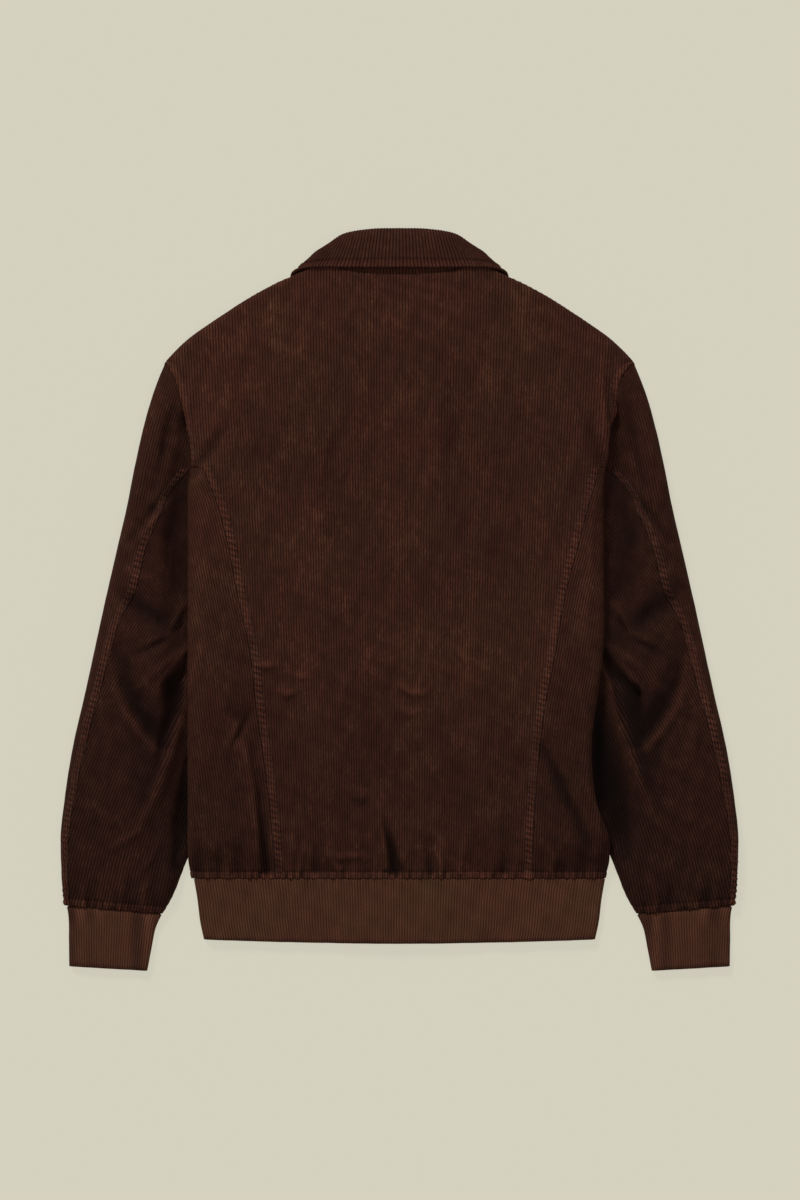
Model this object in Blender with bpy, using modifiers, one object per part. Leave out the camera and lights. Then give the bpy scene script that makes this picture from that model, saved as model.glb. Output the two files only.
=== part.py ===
"""A corduroy blouson laid flat, face down, with its back up and its collar towards +Y.

The surface that it lies on is z = 0 and the origin is the middle of its outline. Sizes are in
millimetres in the tables below and become metres where the meshes are made. The wearer's left is -X.

Every tube of cloth (body, sleeve, cuff, hem band) is a row of cross-sections, one for each level y.
A section is a flattened ring: a top layer, a rounded rim, a bottom layer. A cut panel is the stretch
of those rings between its two seams, with a gap of SEAM to the panel that it is sewn to.
"""
import math

import bmesh
import bpy
import numpy as np

MM = 0.001
SEAM = 0.3                 # gap between two pieces that are sewn together
CURVED_SEAM = 0.9          # the same gap, measured on the outer face where a seam runs over a rim
CAP_SEAM = 2.6             # the same, where a seam also runs at a slant over the sleeve head
CAP_TUCK = 5.0             # how far the sleeve head runs under the rolled edge of the back
CLOTH = 1.3                # corduroy
RIB = 2.0                  # double rib knit of the cuffs and the hem band
COLLAR = 2.0               # two layers of corduroy
FOLD_HEIGHT = 4.0          # half the height of the collar's rolled fold
FOLD_REACH = 2.6           # how far the roll bulges past the fold line
FOLD_BACK = 5.0            # where the roll starts, below the fold line on the neck's side
FOLD_FRONT = 11.0          # and where it ends, on the leaf
COLLAR_COLUMNS = 8
STAND_SHARE = 2 / 8        # part of the columns below the roll
LEAF_START = 6 / 8
HEM_Y = -279.0             # seam between the body and the hem band
UNDERARM_Y = 132.0         # lowest point of the armholes
SHOULDER_TIP_Y = 235.0     # where the armhole seam reaches the outline
NECK_Y = 341.0             # level of the neck points
NECK_HALF = 80.5           # half the width of the neck
NECK_BOW = 2.6             # power of the neckline's curve
NECK_WRAP = 7.0            # how far round to the front the back reaches at the neck points
SHOULDER_WRAP = 18.0       # and at the shoulder
TIP_WRAP = -5.0            # and at the shoulder tip, where it ends before the outline
SIDE_SEAM = 158.0          # |x| of the side seam, on the underside
RIM = 10.0                 # how far in from the outline a fold of the body is rounded
NECK_RIM_HEIGHT = 8.5      # height of that fold at the neck points
SLEEVE_RIM = 14.0          # how far in from the outline the outer fold of a sleeve is rounded
SLEEVE_RIM_HEIGHT = 7.0    # and its height
WRIST_RIM = 4.5            # the same reach at the cuff seam
INNER_RIM = (8.0, 4.0)     # reach and height of the inner fold of a sleeve
CUFF_RIM = (4.4, 3.9)      # and of both folds of a cuff
HEM_RIM = (5.0, 4.1)       # and of both folds of the hem band
BACK_SCOOP = 15.5          # depth of the neckline at the centre back
FRONT_SCOOP = 76.0         # and at the centre front
SLEEVE_Y = -306.0          # seam between the sleeve and the cuff, at its outer end
SLEEVE_TOP = 8.0           # height of the sleeve where the body lies on it
SLEEVE_CLEAR = 213.0       # |x| where the sleeve comes clear of the body and starts to rise
SLEEVE_CLIMB = 30.0        # and how much further out it is at its full height
OVER_SLEEVE = 8.0          # how much higher the back is where it lies on a sleeve
BACK_ROLL = 9.5            # how far the back's edge rolls down over the sleeve, above the underarm
UNDERARM_RISE = 4.5        # height of the sleeve's underside at the front of the underarm
LIFT = 9.4                 # height of the body's underside where it lies on a sleeve
COLLAR_LIFT = 3.2          # height of the fronts where they lie on the collar leaf
FRONT_LAP = 15.0           # how far each front reaches past the centre line
LAP_STEP = (-48.0, -18.0)  # where a front steps up to its layer of the lap, past the centre line
FRONT_LAYERS = {-1: 2.7, 1: 4.9}     # underside of the left and the right front at the lap
BAND_STEP = 1.0            # the hem band is thicker, so its upper end of the lap lies this much higher
CUFF_TOP = 7.8             # height of a cuff
CUFF_JOINT = 25.0          # place of a cuff's own seam, from the inner end of its ring
HEM_END_Y = -340.0         # lower edge of the hem band, at its sides
HEM_BOW = 4.0              # how far the middle of that edge hangs below its sides
BUTTON_LEVELS = (228.0, 134.0, 40.0, -54.0, -148.0, -242.0, -312.0)
BUTTON_RADIUS = 8.5
BUTTON_HEIGHT = 2.2
BAND_BUTTON_HEIGHT = 1.3   # height of the middle of the button on the hem band
COLLAR_OUTWARD = (0.72, 0.69)        # the way that the collar's end faces, in x and y
TINY = 0.001               # keeps an end of a cut from making a segment of no length
BEND_WEIGHT = 28.0         # a bend of one radian draws as many columns as this length of flat cloth
BACK_COLUMNS = 14
SIDE_COLUMNS = 10
FRONT_COLUMNS = 7
TOP_COLUMNS = 12
UNDER_COLUMNS = 10
CUFF_COLUMNS = 22
HEM_COLUMNS = 40
BODY_LEVELS = [HEM_Y + SEAM, -268, -252, -226, -180, -130, -80, -30, 30, 85, 118, 131.7]
BACK_LEVELS = BODY_LEVELS + [137, 152, 168, 186, 204, 213, 222, 234, 243, 255, 270, 288, 306, 321, 331,
                             NECK_Y]
SIDE_LEVELS = BODY_LEVELS[:-1] + [131.0]
SLEEVE_LEVELS = [SLEEVE_Y, -290, -264, -230, -180, -130, -80, -30, 25, 72, 105, 131.7]
CAP_LEVELS = [137, 152, 168, 186, 204, 213, 222, 231]


def table(columns, *rows):
    """Named columns with one row for each section, lowest y first."""
    names = columns.split()
    return {name: np.array([row[i] for row in rows], float) for i, name in enumerate(names)}


BODY = table("y left right crown",
             (-279, -208.5, 206.5, 8.2), (-264, -211.0, 209.5, 12.5), (-245, -211.5, 210.0, 15.0),
             (-200, -211.5, 196.0, 15.5), (-145, -211.5, 191.5, 15.5), (-95, -211.5, 198.0, 15.5),
             (-50, -211.5, 203.5, 15.5), (30, -211.5, 204.0, 15.5), (110, -211.5, 204.0, 15.5),
             (132, -208.0, 205.5, 15.5), (240, -207.0, 207.0, 15.5), (300, -207.0, 207.0, 14.6),
             (341, -207.0, 207.0, 14.0))
PRINCESS = table("y left right",
                 (-279, -124.5, 133.0), (-235, -127.0, 134.0), (-160, -135.5, 139.0),
                 (-112, -142.5, 144.5), (-53, -149.0, 155.5), (5, -161.5, 165.5),
                 (59, -172.0, 179.5), (101, -183.5, 190.5), (132, -196.5, 200.0))
ARMHOLE = table("y back_left back_right front",
                (132, -207.5, 205.5, 176), (145, -207.5, 207.5, 191), (160, -209.5, 208.5, 200),
                (172, -212.0, 210.5, 205), (185, -214.5, 216.5, 210), (200, -218.5, 218.0, 216),
                (223, -225.5, 221.5, 226), (238, -234.0, 231.0, 233))
SLEEVE = table("y outer inner crown",
               (-306, 335.5, 237.5, 8.0), (-290, 337.5, 228.0, 13.0), (-264, 339.0, 216.5, 16.5),
               (-240, 339.5, 205.0, 18.0), (-200, 335.5, 185.0, 19.5), (-144, 326.5, 175.0, 20.5),
               (-96, 315.5, 175.0, 21.5), (-48, 305.0, 175.0, 22.0), (0, 294.5, 175.0, 22.0),
               (48, 283.5, 175.0, 22.0), (96, 272.5, 175.0, 22.0), (132, 265.5, 179.0, 21.5),
               (168, 257.5, 190.0, 20.5), (204, 247.5, 205.0, 19.5), (228, 238.5, 220.0, 18.0),
               (240, 233.5, 226.0, 17.0))
SLEEVE_SEAMS = table("y elbow front",
                     (-306, 330.0, 306.0), (-253, 331.0, 302.0), (-202, 324.5, 297.0),
                     (-162, 316.5, 290.0), (-121, 306.5, 281.0), (-92, 298.5, 273.0),
                     (-62, 290.5, 264.0), (-22, 279.0, 251.0), (14, 261.5, 238.0),
                     (45, 254.5, 226.0), (85, 238.5, 207.0), (112, 225.5, 193.0), (132, 209.0, 182.0))
SHOULDER = table("y half",
                 (238, 235.0), (252, 222.0), (264, 208.5), (276, 191.5), (288, 173.5),
                 (300, 155.0), (312, 134.0), (319, 120.5), (325, 106.5), (333, 93.0), (341, 80.5))
HEM = table("y half", (-340, 196.0), (-324, 199.5), (-300, 202.5), (-279.6, 206.0))
# The cuff's y runs down from 0 at its seam to 1 at its free edge.
CUFF = table("y outer inner",
             (0, 333.5, 238.0), (0.15, 332.0, 242.5), (0.6, 331.5, 248.5), (1, 331.0, 253.0))
CUFF_SEAM = {"outer_x": 333.5, "width": 96.0, "outer_y": -306.5, "inner_y": -314.7}
CUFF_END = {"outer_y": -367.0, "inner_y": -371.5}
# Stations of the collar from the centre back (turn 0) to the centre front (turn 1).
COLLAR_STATIONS = table(
    "y neck_x neck_z tuck fold_x fold_y fold_z edge_x edge_y edge_z facing",
    (0.00, 0.0, 12.2, 1.5, 0.0, 371.8, 12.8, 0.0, 333.0, 17.0, 0),
    (0.16, 33.0, 12.2, 1.5, 31.0, 371.8, 12.8, 38.0, 333.0, 17.0, 0),
    (0.30, 60.0, 12.2, 1.5, 54.0, 366.0, 13.0, 74.0, 333.0, 17.0, 5),
    (0.40, 71.5, 12.1, 1.5, 66.0, 357.5, 13.4, 94.0, 332.6, 16.8, 20),
    (0.46, 74.8, 11.3, 1.5, 71.0, 354.0, 12.8, 104.5, 330.6, 13.4, 52),
    (0.50, 77.4, 8.5, 1.5, 74.0, 353.0, 8.6, 109.0, 328.0, 8.6, 90),
    (0.54, 74.8, 5.9, 1.5, 73.0, 351.8, 5.6, 112.5, 325.0, 3.2, 126),
    (0.57, 73.2, 5.4, 1.5, 72.0, 349.4, 4.6, 111.5, 318.5, 0.2, 148),
    (0.60, 71.5, 5.3, 1.5, 70.6, 345.6, 4.2, 109.5, 311.0, 0.2, 162),
    (0.70, 64.0, 5.2, 1.5, 62.0, 329.0, 4.2, 102.0, 290.0, 0.2, 178),
    (0.85, 40.0, 4.9, 0.5, 37.5, 307.0, 4.2, 82.0, 260.0, 0.2, 180),
    (1.00, 5.0, 4.9, -0.8, 7.0, 291.0, 4.2, 54.0, 229.0, 0.2, 180))
TURNS = (0, 0.12, 0.24, 0.34, 0.4, 0.44, 0.47, 0.5, 0.53, 0.56, 0.6, 0.66, 0.76, 0.88, 1)


def at(rows, column, level):
    """A column's value at a level, on a smooth curve through the rows."""
    levels = rows["y"]
    values = rows[column]
    slopes = np.gradient(values, levels)
    secants = np.diff(values) / np.diff(levels)
    slopes[1:-1] = np.where(secants[1:] * secants[:-1] <= 0, 0.0, slopes[1:-1])
    level = min(max(level, levels[0]), levels[-1])
    i = min(int(np.searchsorted(levels, level, side="right")) - 1, len(levels) - 2)
    span = levels[i + 1] - levels[i]
    t = (level - levels[i]) / span
    return float(values[i] * (1 + 2 * t) * (1 - t) ** 2 + slopes[i] * span * t * (1 - t) ** 2
                 + values[i + 1] * t * t * (3 - 2 * t) + slopes[i + 1] * span * t * t * (t - 1))


def ramp(value, start, end):
    """0 at start, 1 at end, smooth between."""
    t = min(max((value - start) / (end - start), 0.0), 1.0)
    return t * t * (3 - 2 * t)


def mix(a, b, t):
    return a + (b - a) * t


# ---------------------------------------------------------------- heights

def sleeve_reach(y):
    """How near the middle the sleeve lies under the body, as |x|."""
    return at(SLEEVE, "inner", y)


def rib_top(x):
    """Top of the hem band, raised where the fronts lap under it."""
    return 8.2 + 2.6 * (1 - ramp(abs(x), 30, 75))


def body_top(x, y):
    """Upper face of the back: low at the hem, higher at the sides where it lies on the sleeves."""
    over_sleeve = ramp(y, -275, -235) * (1 - 0.75 * ramp(y, 150, 235)) * (1 - ramp(y, 235, 285))
    height = at(BODY, "crown", y) + OVER_SLEEVE * over_sleeve * ramp(abs(x), 110, 185)
    return mix(rib_top(x), height, ramp(y, -281, -250) ** 0.6)


def body_underside(x, y):
    """Lower face of the fronts: on the surface, lifted over the sleeves and the collar leaf."""
    reach = sleeve_reach(y)
    over_sleeve = ramp(abs(x), reach - 30, reach - 8) * (1 - ramp(y, 132, 158)) * ramp(y, -276, -250)
    over_collar = ramp(y, 203, 224) * (1 - ramp(abs(x), 132, 156))
    return LIFT * over_sleeve + COLLAR_LIFT * over_collar


def front_underside(x, y, side):
    """Lower face of one front, which steps up at the lap for the buttons and the other front."""
    past_lap = ramp(-side * x, *LAP_STEP)
    layer_height = FRONT_LAYERS[side] + 1.2 * ramp(y, 205, 226)
    return max(body_underside(x, y), layer_height * past_lap)


def back_roll(y):
    """How far the back's edge rolls down at a level; nothing at the shoulder."""
    return BACK_ROLL * (1 - ramp(y, 168, 204))


def armhole_top(y, side):
    """Height of the back's edge along the armhole."""
    x = at(ARMHOLE, "back_left" if side < 0 else "back_right", y)
    return body_top(x, y) - back_roll(y)


def sleeve_top(x, y, side):
    """Upper face of the sleeve: tucked low beside the body, full over the arm."""
    tucked = SLEEVE_TOP if y < UNDERARM_Y else armhole_top(y, side) - 3.2 * (1 - ramp(y, 170, 204))
    start = mix(SLEEVE_CLEAR, at(SLEEVE, "inner", y) - 12, ramp(-y, 225, 262))
    crown = at(SLEEVE, "crown", y)
    return mix(tucked, crown, ramp(abs(x), start, start + SLEEVE_CLIMB))


# ---------------------------------------------------------------- sections

def rounded(distance, reach):
    """Share of the full height at a distance from a rounded rim."""
    inside = min(max(1 - distance / reach, 0.0), 1.0)
    return math.sqrt(1 - inside * inside)


def spread(start, end, rim_start, rim_end, count=70):
    """Places from start to end, packed closely at the ends that are rounded."""
    across = end - start
    quarter = 1 - np.cos(np.linspace(0, math.pi / 2, 12))
    places = [*np.linspace(start, end, count)]
    places += [start + across * q * min(rim_start / abs(across), 1.0) for q in quarter if rim_start]
    places += [end - across * q * min(rim_end / abs(across), 1.0) for q in quarter if rim_end]
    return sorted(set(np.round(places, 6)), reverse=across < 0)


def lengths_along(line):
    return np.concatenate([[0], np.cumsum(np.linalg.norm(np.diff(line, axis=0), axis=1))])


def ring_length(points):
    return float(lengths_along(np.array(points))[-1])


def stretch(points, start, end, steps):
    """Points between two lengths along a line, closer together where it bends.

    An end past the line's own length means that a closed ring is passed a second time.
    """
    line = np.array(points)
    if end > ring_length(points) + SEAM:
        line = np.concatenate([line, line[1:]])
    lengths = lengths_along(line)
    inside = (lengths > start + TINY) & (lengths < end - TINY)
    places = np.concatenate([[start], lengths[inside], [end]])
    part = np.column_stack([np.interp(places, lengths, line[:, i]) for i in (0, 1)])
    step = np.diff(part, axis=0)
    heading = np.unwrap(np.arctan2(step[:, 1], step[:, 0]))
    bend = np.concatenate([[0], np.abs(np.diff(heading)), [0]])
    weight = lengths_along(part) + BEND_WEIGHT * (np.cumsum(bend) - bend / 2)
    wanted = np.linspace(0, weight[-1], steps + 1)
    return [(np.interp(w, weight, part[:, 0]), np.interp(w, weight, part[:, 1])) for w in wanted]


def length_at(points, x):
    """Length along a line of points, which runs one way in x, where it reaches x."""
    line = np.array(points)
    lengths = lengths_along(line)
    order = 1 if line[-1, 0] > line[0, 0] else -1
    return float(np.interp(x * order, line[:, 0] * order, lengths))


def layer(x_from, x_to, height, rim_from=(0, 0), rim_to=(0, 0)):
    """One layer of a section; a rim is (reach, height of the rim)."""
    points = []
    for x in spread(x_from, x_to, rim_from[0], rim_to[0]):
        z = height(x)
        if rim_from[0]:
            z = mix(rim_from[1], z, rounded(abs(x - x_from), rim_from[0]))
        if rim_to[0]:
            z = mix(rim_to[1], z, rounded(abs(x - x_to), rim_to[0]))
        points.append((float(x), z))
    return points


def back_section(y):
    """The back's layer from the left edge to the right edge."""
    if y <= UNDERARM_Y:
        left, right = at(BODY, "left", y), at(BODY, "right", y)
        return layer(left, right, lambda x: body_top(x, y), (RIM, side_rim(y, -1)), (RIM, side_rim(y, 1)))
    if y <= SHOULDER_TIP_Y:
        left, right = at(ARMHOLE, "back_left", y), at(ARMHOLE, "back_right", y)
        roll = back_roll(y)
        rims = [(RIM, outline_round(x, y, body_top(x, y)) - roll) for x in (left, right)]
        return layer(left, right, lambda x: outline_round(x, y, body_top(x, y)), *rims)
    half = at(SHOULDER, "half", y)
    return layer(-half, half, lambda x: body_top(x, y), *[(RIM, rim_height(y))] * 2)


def rim_height(y):
    """Height of the fold at the shoulder and over the sleeve head."""
    return mix(SLEEVE_RIM_HEIGHT, NECK_RIM_HEIGHT, ramp(y, 250, 320))


def outline_round(x, y, height):
    """Rounds the back down where it comes near the outline of the sleeve head."""
    return mix(SLEEVE_RIM_HEIGHT, height, rounded(at(SLEEVE, "outer", y) - abs(x), SLEEVE_RIM))


def side_rim(y, side):
    """Height of the fold at the body's side."""
    x = at(BODY, "left" if side < 0 else "right", y)
    return mix(body_underside(x, y), body_top(x, y), 0.5)


def side_wrap(y, side):
    """Underside of the side panel, from the rim of the body to the side seam."""
    edge = at(BODY, "left" if side < 0 else "right", y)
    return layer(edge, side * SIDE_SEAM, lambda x: body_underside(x, y), (RIM, side_rim(y, side)))


# ---------------------------------------------------------------- panels

def panel_grid(name, rows, columns, place, thickness, material, flip=False):
    """A grid sheet moved onto its sections and given its thickness inwards."""
    mesh_data = bmesh.new()
    bmesh.ops.create_grid(mesh_data, x_segments=columns, y_segments=rows, size=0.5)
    by_row = {}
    for vert in mesh_data.verts:
        row = round((vert.co.y + 0.5) * rows)
        column = round((vert.co.x + 0.5) * columns)
        by_row.setdefault(row, {})[column] = vert
    for row, verts in by_row.items():
        points = place(row / rows)
        for column, vert in verts.items():
            vert.co = [c * MM for c in points[column]]
    if flip:
        bmesh.ops.reverse_faces(mesh_data, faces=mesh_data.faces)
    mesh = bpy.data.meshes.new(name)
    mesh_data.to_mesh(mesh)
    mesh_data.free()
    mesh.shade_smooth()
    piece = bpy.data.objects.new(name, mesh)
    wall = piece.modifiers.new("Cloth", "SOLIDIFY")
    wall.thickness = thickness * MM
    wall.offset = -1
    wall.use_even_offset = False
    mesh.materials.append(material)
    jacket.objects.link(piece)
    return piece


def level(rows, t):
    """Level of a row: t from 0 to 1 over a list of levels."""
    place = t * (len(rows) - 1)
    i = min(int(place), len(rows) - 2)
    return mix(rows[i], rows[i + 1], place - i)


def back_neck(x, y):
    """Lowers the top rows of the back to the neckline."""
    inside = 1 - min(abs(x) / NECK_HALF, 1.0) ** NECK_BOW
    return y - BACK_SCOOP * inside * ramp(y, 290, NECK_Y)


def front_neck(x, y):
    """Lowers the rows of a front to its deeper neckline, which starts at the shoulder seam."""
    seam = NECK_HALF - NECK_WRAP
    inside = 1 - min(abs(x) / seam, 1.0) ** NECK_BOW
    return back_neck(seam, y) - FRONT_SCOOP * inside * ramp(y, 130, NECK_Y)


def back_centre_row(t):
    y = level(BACK_LEVELS, t)
    section = back_section(y)
    start, end = 0.0, ring_length(section)
    if y <= UNDERARM_Y:
        gap = mix(SEAM, CURVED_SEAM, ramp(y, 60, 110)) / 2
        start = length_at(section, at(PRINCESS, "left", y) + gap)
        end = length_at(section, at(PRINCESS, "right", y) - gap)
    points = stretch(section, start, end, BACK_COLUMNS)
    if y > SHOULDER_TIP_Y:
        half = at(SHOULDER, "half", y)
        rim = (RIM, rim_height(y))
        left, right = [stretch(layer(x, x * 0.5, lambda x: body_underside(x, y), rim), 0, SHOULDER_WRAP, 8)
                       for x in (-half, half)]
        ring = left[:0:-1] + section + right[1:]
        spare = SHOULDER_WRAP - shoulder_wrap(y)
        points = stretch(ring, spare, ring_length(ring) - spare, BACK_COLUMNS)
    return [(x, back_neck(x, y), z) for x, z in points]


def shoulder_wrap(y):
    """How far the back reaches round the shoulder; below zero, it ends before the outline."""
    wrap = mix(TIP_WRAP, SHOULDER_WRAP, ramp(y, 238, 266))
    return wrap + (NECK_WRAP - SHOULDER_WRAP) * ramp(y, 285, NECK_Y)


def back_side_row(side):
    def row(t):
        y = level(SIDE_LEVELS, t)
        section = back_section(y)[::-side]
        gap = mix(SEAM, CURVED_SEAM, ramp(y, 60, 110)) / 2
        seam = at(PRINCESS, "left" if side < 0 else "right", y) + side * gap
        ring = side_wrap(y, side)[::-1] + stretch(section, 0, length_at(section, seam), 60)[1:]
        return [(x, y, z) for x, z in stretch(ring, 0, ring_length(ring), SIDE_COLUMNS)]
    return row


def front_height(x, y, side):
    """Height of a front, which rounds down beside the sleeve head."""
    height = front_underside(x, y, side)
    return outline_round(x, y, height) if UNDERARM_Y < y <= SHOULDER_TIP_Y else height


def front_row(side):
    def row(t):
        y = level(BACK_LEVELS, t)
        rim = (0, 0)
        start = 0.0
        if y <= UNDERARM_Y:
            outer = side * (SIDE_SEAM - SEAM)
        elif y <= SHOULDER_TIP_Y:
            outer = side * at(ARMHOLE, "front", y)
        else:
            outer = side * at(SHOULDER, "half", y)
            rim = (RIM, rim_height(y))
            start = max(shoulder_wrap(y), 0.0) + CAP_SEAM
        ring = layer(outer, -side * FRONT_LAP, lambda x: front_height(x, y, side), rim)
        return [(x, front_neck(x, y), z) for x, z in stretch(ring, start, ring_length(ring), FRONT_COLUMNS)]
    return row


# ---------------------------------------------------------------- sleeves

def sleeve_rings(y, side):
    """Top layer from the inner end outwards, and bottom layer from the outer rim inwards."""
    outer = side * at(SLEEVE, "outer", y)
    reach = mix(SLEEVE_RIM, WRIST_RIM, ramp(-y, 262, 300))
    rim = (reach, min(SLEEVE_RIM_HEIGHT, at(SLEEVE, "crown", y) * 0.5))
    if y <= UNDERARM_Y:
        inner = side * at(SLEEVE, "inner", y)
        top = layer(inner, outer, lambda x: sleeve_top(x, y, side), INNER_RIM, rim)
        bottom = layer(outer, inner, lambda x: 0.0, rim, INNER_RIM)
        return top, bottom
    tuck = mix(CAP_TUCK, -CAP_SEAM, ramp(y, 168, 190))
    seam_top = at(ARMHOLE, "back_left" if side < 0 else "back_right", y) - side * tuck
    seam_bottom = side * (at(ARMHOLE, "front", y) + CAP_SEAM)
    top = layer(seam_top, outer, lambda x: sleeve_top(x, y, side), (0, 0), rim)
    rise = ramp(y, UNDERARM_Y, 137)
    bottom = layer(outer, seam_bottom, lambda x: rise * min(body_underside(x, y), UNDERARM_RISE), rim)
    return top, bottom


def cuff_tilt(x, y):
    """Lowers the inner side of the sleeve to the slant of the cuff seam."""
    drop = CUFF_SEAM["outer_y"] - CUFF_SEAM["inner_y"]
    inwards = (CUFF_SEAM["outer_x"] - abs(x)) / CUFF_SEAM["width"]
    return y - drop * inwards * ramp(-y, 215, -SLEEVE_Y)


def sleeve_top_row(side):
    levels = SLEEVE_LEVELS + CAP_LEVELS

    def row(t):
        y = level(levels, t)
        top, bottom = sleeve_rings(y, side)
        start, end = 0.0, ring_length(top) + ring_length(bottom)
        if y <= UNDERARM_Y:
            start = length_at(top, side * (at(SLEEVE_SEAMS, "elbow", y) + CURVED_SEAM / 2))
            under = length_at(bottom, side * (at(SLEEVE_SEAMS, "front", y) + CURVED_SEAM / 2))
            end = ring_length(top) + under
        return [(x, cuff_tilt(x, y), z) for x, z in stretch(top + bottom[1:], start, end, TOP_COLUMNS)]
    return row


def sleeve_under_row(side):
    def row(t):
        y = level(SLEEVE_LEVELS, t)
        top, bottom = sleeve_rings(y, side)
        under = length_at(bottom, side * (at(SLEEVE_SEAMS, "front", y) - CURVED_SEAM / 2))
        over = length_at(top, side * (at(SLEEVE_SEAMS, "elbow", y) - CURVED_SEAM / 2))
        start = ring_length(top) + under
        end = ring_length(top) + ring_length(bottom) + over
        return [(x, cuff_tilt(x, y), z) for x, z in stretch(top + bottom[1:], start, end, UNDER_COLUMNS)]
    return row


# ---------------------------------------------------------------- rib knit

def cuff_row(side):
    def row(t):
        down = 1 - t
        outer, inner = side * at(CUFF, "outer", down), side * at(CUFF, "inner", down)
        top = layer(inner, outer, lambda x: CUFF_TOP, CUFF_RIM, CUFF_RIM)
        bottom = layer(outer, inner, lambda x: 0.0, CUFF_RIM, CUFF_RIM)
        ring = top + bottom[1:]
        joint = ring_length(ring) - CUFF_JOINT
        points = stretch(ring, joint + SEAM, joint + ring_length(ring), CUFF_COLUMNS)
        placed = []
        for x, z in points:
            across = (abs(x) - abs(inner)) / (abs(outer) - abs(inner))
            high = mix(CUFF_SEAM["inner_y"], CUFF_SEAM["outer_y"], across) - SEAM
            low = mix(CUFF_END["inner_y"], CUFF_END["outer_y"], across)
            placed.append((x, mix(high, low, down), z))
        return placed
    return row


def hem_row(t):
    y = mix(HEM_END_Y, HEM_Y - SEAM, t)
    half = at(HEM, "half", y)
    left = layer(FRONT_LAP, -half, lambda x: band_height(x, -1), (0, 0), HEM_RIM)
    top = layer(-half, half, rib_top, HEM_RIM, HEM_RIM)
    right = layer(half, -FRONT_LAP, lambda x: band_height(x, 1), HEM_RIM)
    ring = left + top[1:] + right[1:]
    bow = HEM_BOW * ramp(-y, -HEM_Y, -HEM_END_Y)
    return [(x, y - bow * max(1 - (x / at(HEM, "half", HEM_END_Y)) ** 2, 0.0), z)
            for x, z in stretch(ring, 0, ring_length(ring), HEM_COLUMNS)]


def band_height(x, side):
    """Lower face of the hem band's front half, which steps up at the lap as the fronts do."""
    step = FRONT_LAYERS[side] + (BAND_STEP if side > 0 else 0.0)
    return step * ramp(-side * x, *LAP_STEP)


# ---------------------------------------------------------------- collar

def station(turn):
    """Neck, fold and edge points of one station, and the way that the leaf's outer face looks."""
    side = -1 if turn < 0 else 1
    row = {name: at(COLLAR_STATIONS, name, abs(turn)) for name in COLLAR_STATIONS if name != "y"}
    neckline = back_neck if abs(turn) < 0.56 else front_neck
    row["neck_y"] = neckline(row["neck_x"], NECK_Y) - row["tuck"]
    neck, fold, edge = (np.array([side * row[p + "_x"], row[p + "_y"], row[p + "_z"]])
                        for p in ("neck", "fold", "edge"))
    facing = math.radians(row["facing"])
    outward = np.array([side * COLLAR_OUTWARD[0], COLLAR_OUTWARD[1], 0.0])
    rise = unit(fold - neck)
    normal = outward * math.sin(facing) + np.array([0, 0, math.cos(facing)])
    normal = unit(normal - rise * normal.dot(rise))
    return neck, fold, edge, normal


def unit(vector):
    return vector / np.linalg.norm(vector)


def collar_point(turn, along):
    """A point of the collar's right side: along is 0 at the neck seam and 1 at the leaf's edge."""
    neck, fold, edge, normal = station(turn)
    rise = unit(fold - neck)
    fall = unit(edge - normal * FOLD_HEIGHT - fold)
    seam = neck + rise * SEAM - normal * COLLAR
    over = [fold - rise * FOLD_BACK - normal * FOLD_HEIGHT,
            fold + rise * FOLD_REACH - normal * FOLD_HEIGHT,
            fold + rise * FOLD_REACH + normal * FOLD_HEIGHT,
            fold + fall * FOLD_FRONT + normal * FOLD_HEIGHT]
    if along < STAND_SHARE:
        return seam + (over[0] - seam) * along / STAND_SHARE
    if along < LEAF_START:
        t = (along - STAND_SHARE) / (LEAF_START - STAND_SHARE)
        weights = ((1 - t) ** 3, 3 * t * (1 - t) ** 2, 3 * t * t * (1 - t), t ** 3)
        return sum(w * e for w, e in zip(weights, over))
    return over[3] + (edge - over[3]) * (along - LEAF_START) / (1 - LEAF_START)


def collar_row(t):
    turns = [-turn for turn in TURNS[:0:-1]] + list(TURNS)
    return [collar_point(level(turns, t), c / COLLAR_COLUMNS) for c in range(COLLAR_COLUMNS + 1)]


# ---------------------------------------------------------------- buttons

def make_button(name, y):
    """A flat disc with softened edges, below the left front that it comes through.

    It is sewn to the right front, which lies above the left one.
    """
    middle = BAND_BUTTON_HEIGHT
    if y > HEM_Y:
        middle = front_underside(0.0, y, -1) - SEAM - BUTTON_HEIGHT / 2
    bpy.ops.mesh.primitive_cylinder_add(vertices=10, radius=BUTTON_RADIUS * MM, depth=BUTTON_HEIGHT * MM,
                                        location=(0, y * MM, middle * MM))
    button = bpy.context.object
    button.name = name
    edge = button.modifiers.new("Edge", "BEVEL")
    edge.width = 0.5 * MM
    edge.segments = 1
    edge.limit_method = "ANGLE"
    button.data.materials.append(button_material)
    for collection in list(button.users_collection):
        collection.objects.unlink(button)
    jacket.objects.link(button)


# ---------------------------------------------------------------- the jacket

def material(name, colour, roughness):
    made = bpy.data.materials.new(name)
    made.use_nodes = True
    shader = made.node_tree.nodes["Principled BSDF"]
    shader.inputs["Base Color"].default_value = (*colour, 1.0)
    shader.inputs["Roughness"].default_value = roughness
    shader.inputs["Metallic"].default_value = 0.0
    return made


for old in list(bpy.data.objects):
    bpy.data.objects.remove(old, do_unlink=True)
jacket = bpy.data.collections.new("corduroy_jacket")
bpy.context.scene.collection.children.link(jacket)
cloth_material = material("corduroy", (0.035, 0.014, 0.009), 0.9)
rib_material = material("rib_knit", (0.051, 0.021, 0.013), 0.9)
button_material = material("button_resin", (0.03, 0.016, 0.01), 0.35)

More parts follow.
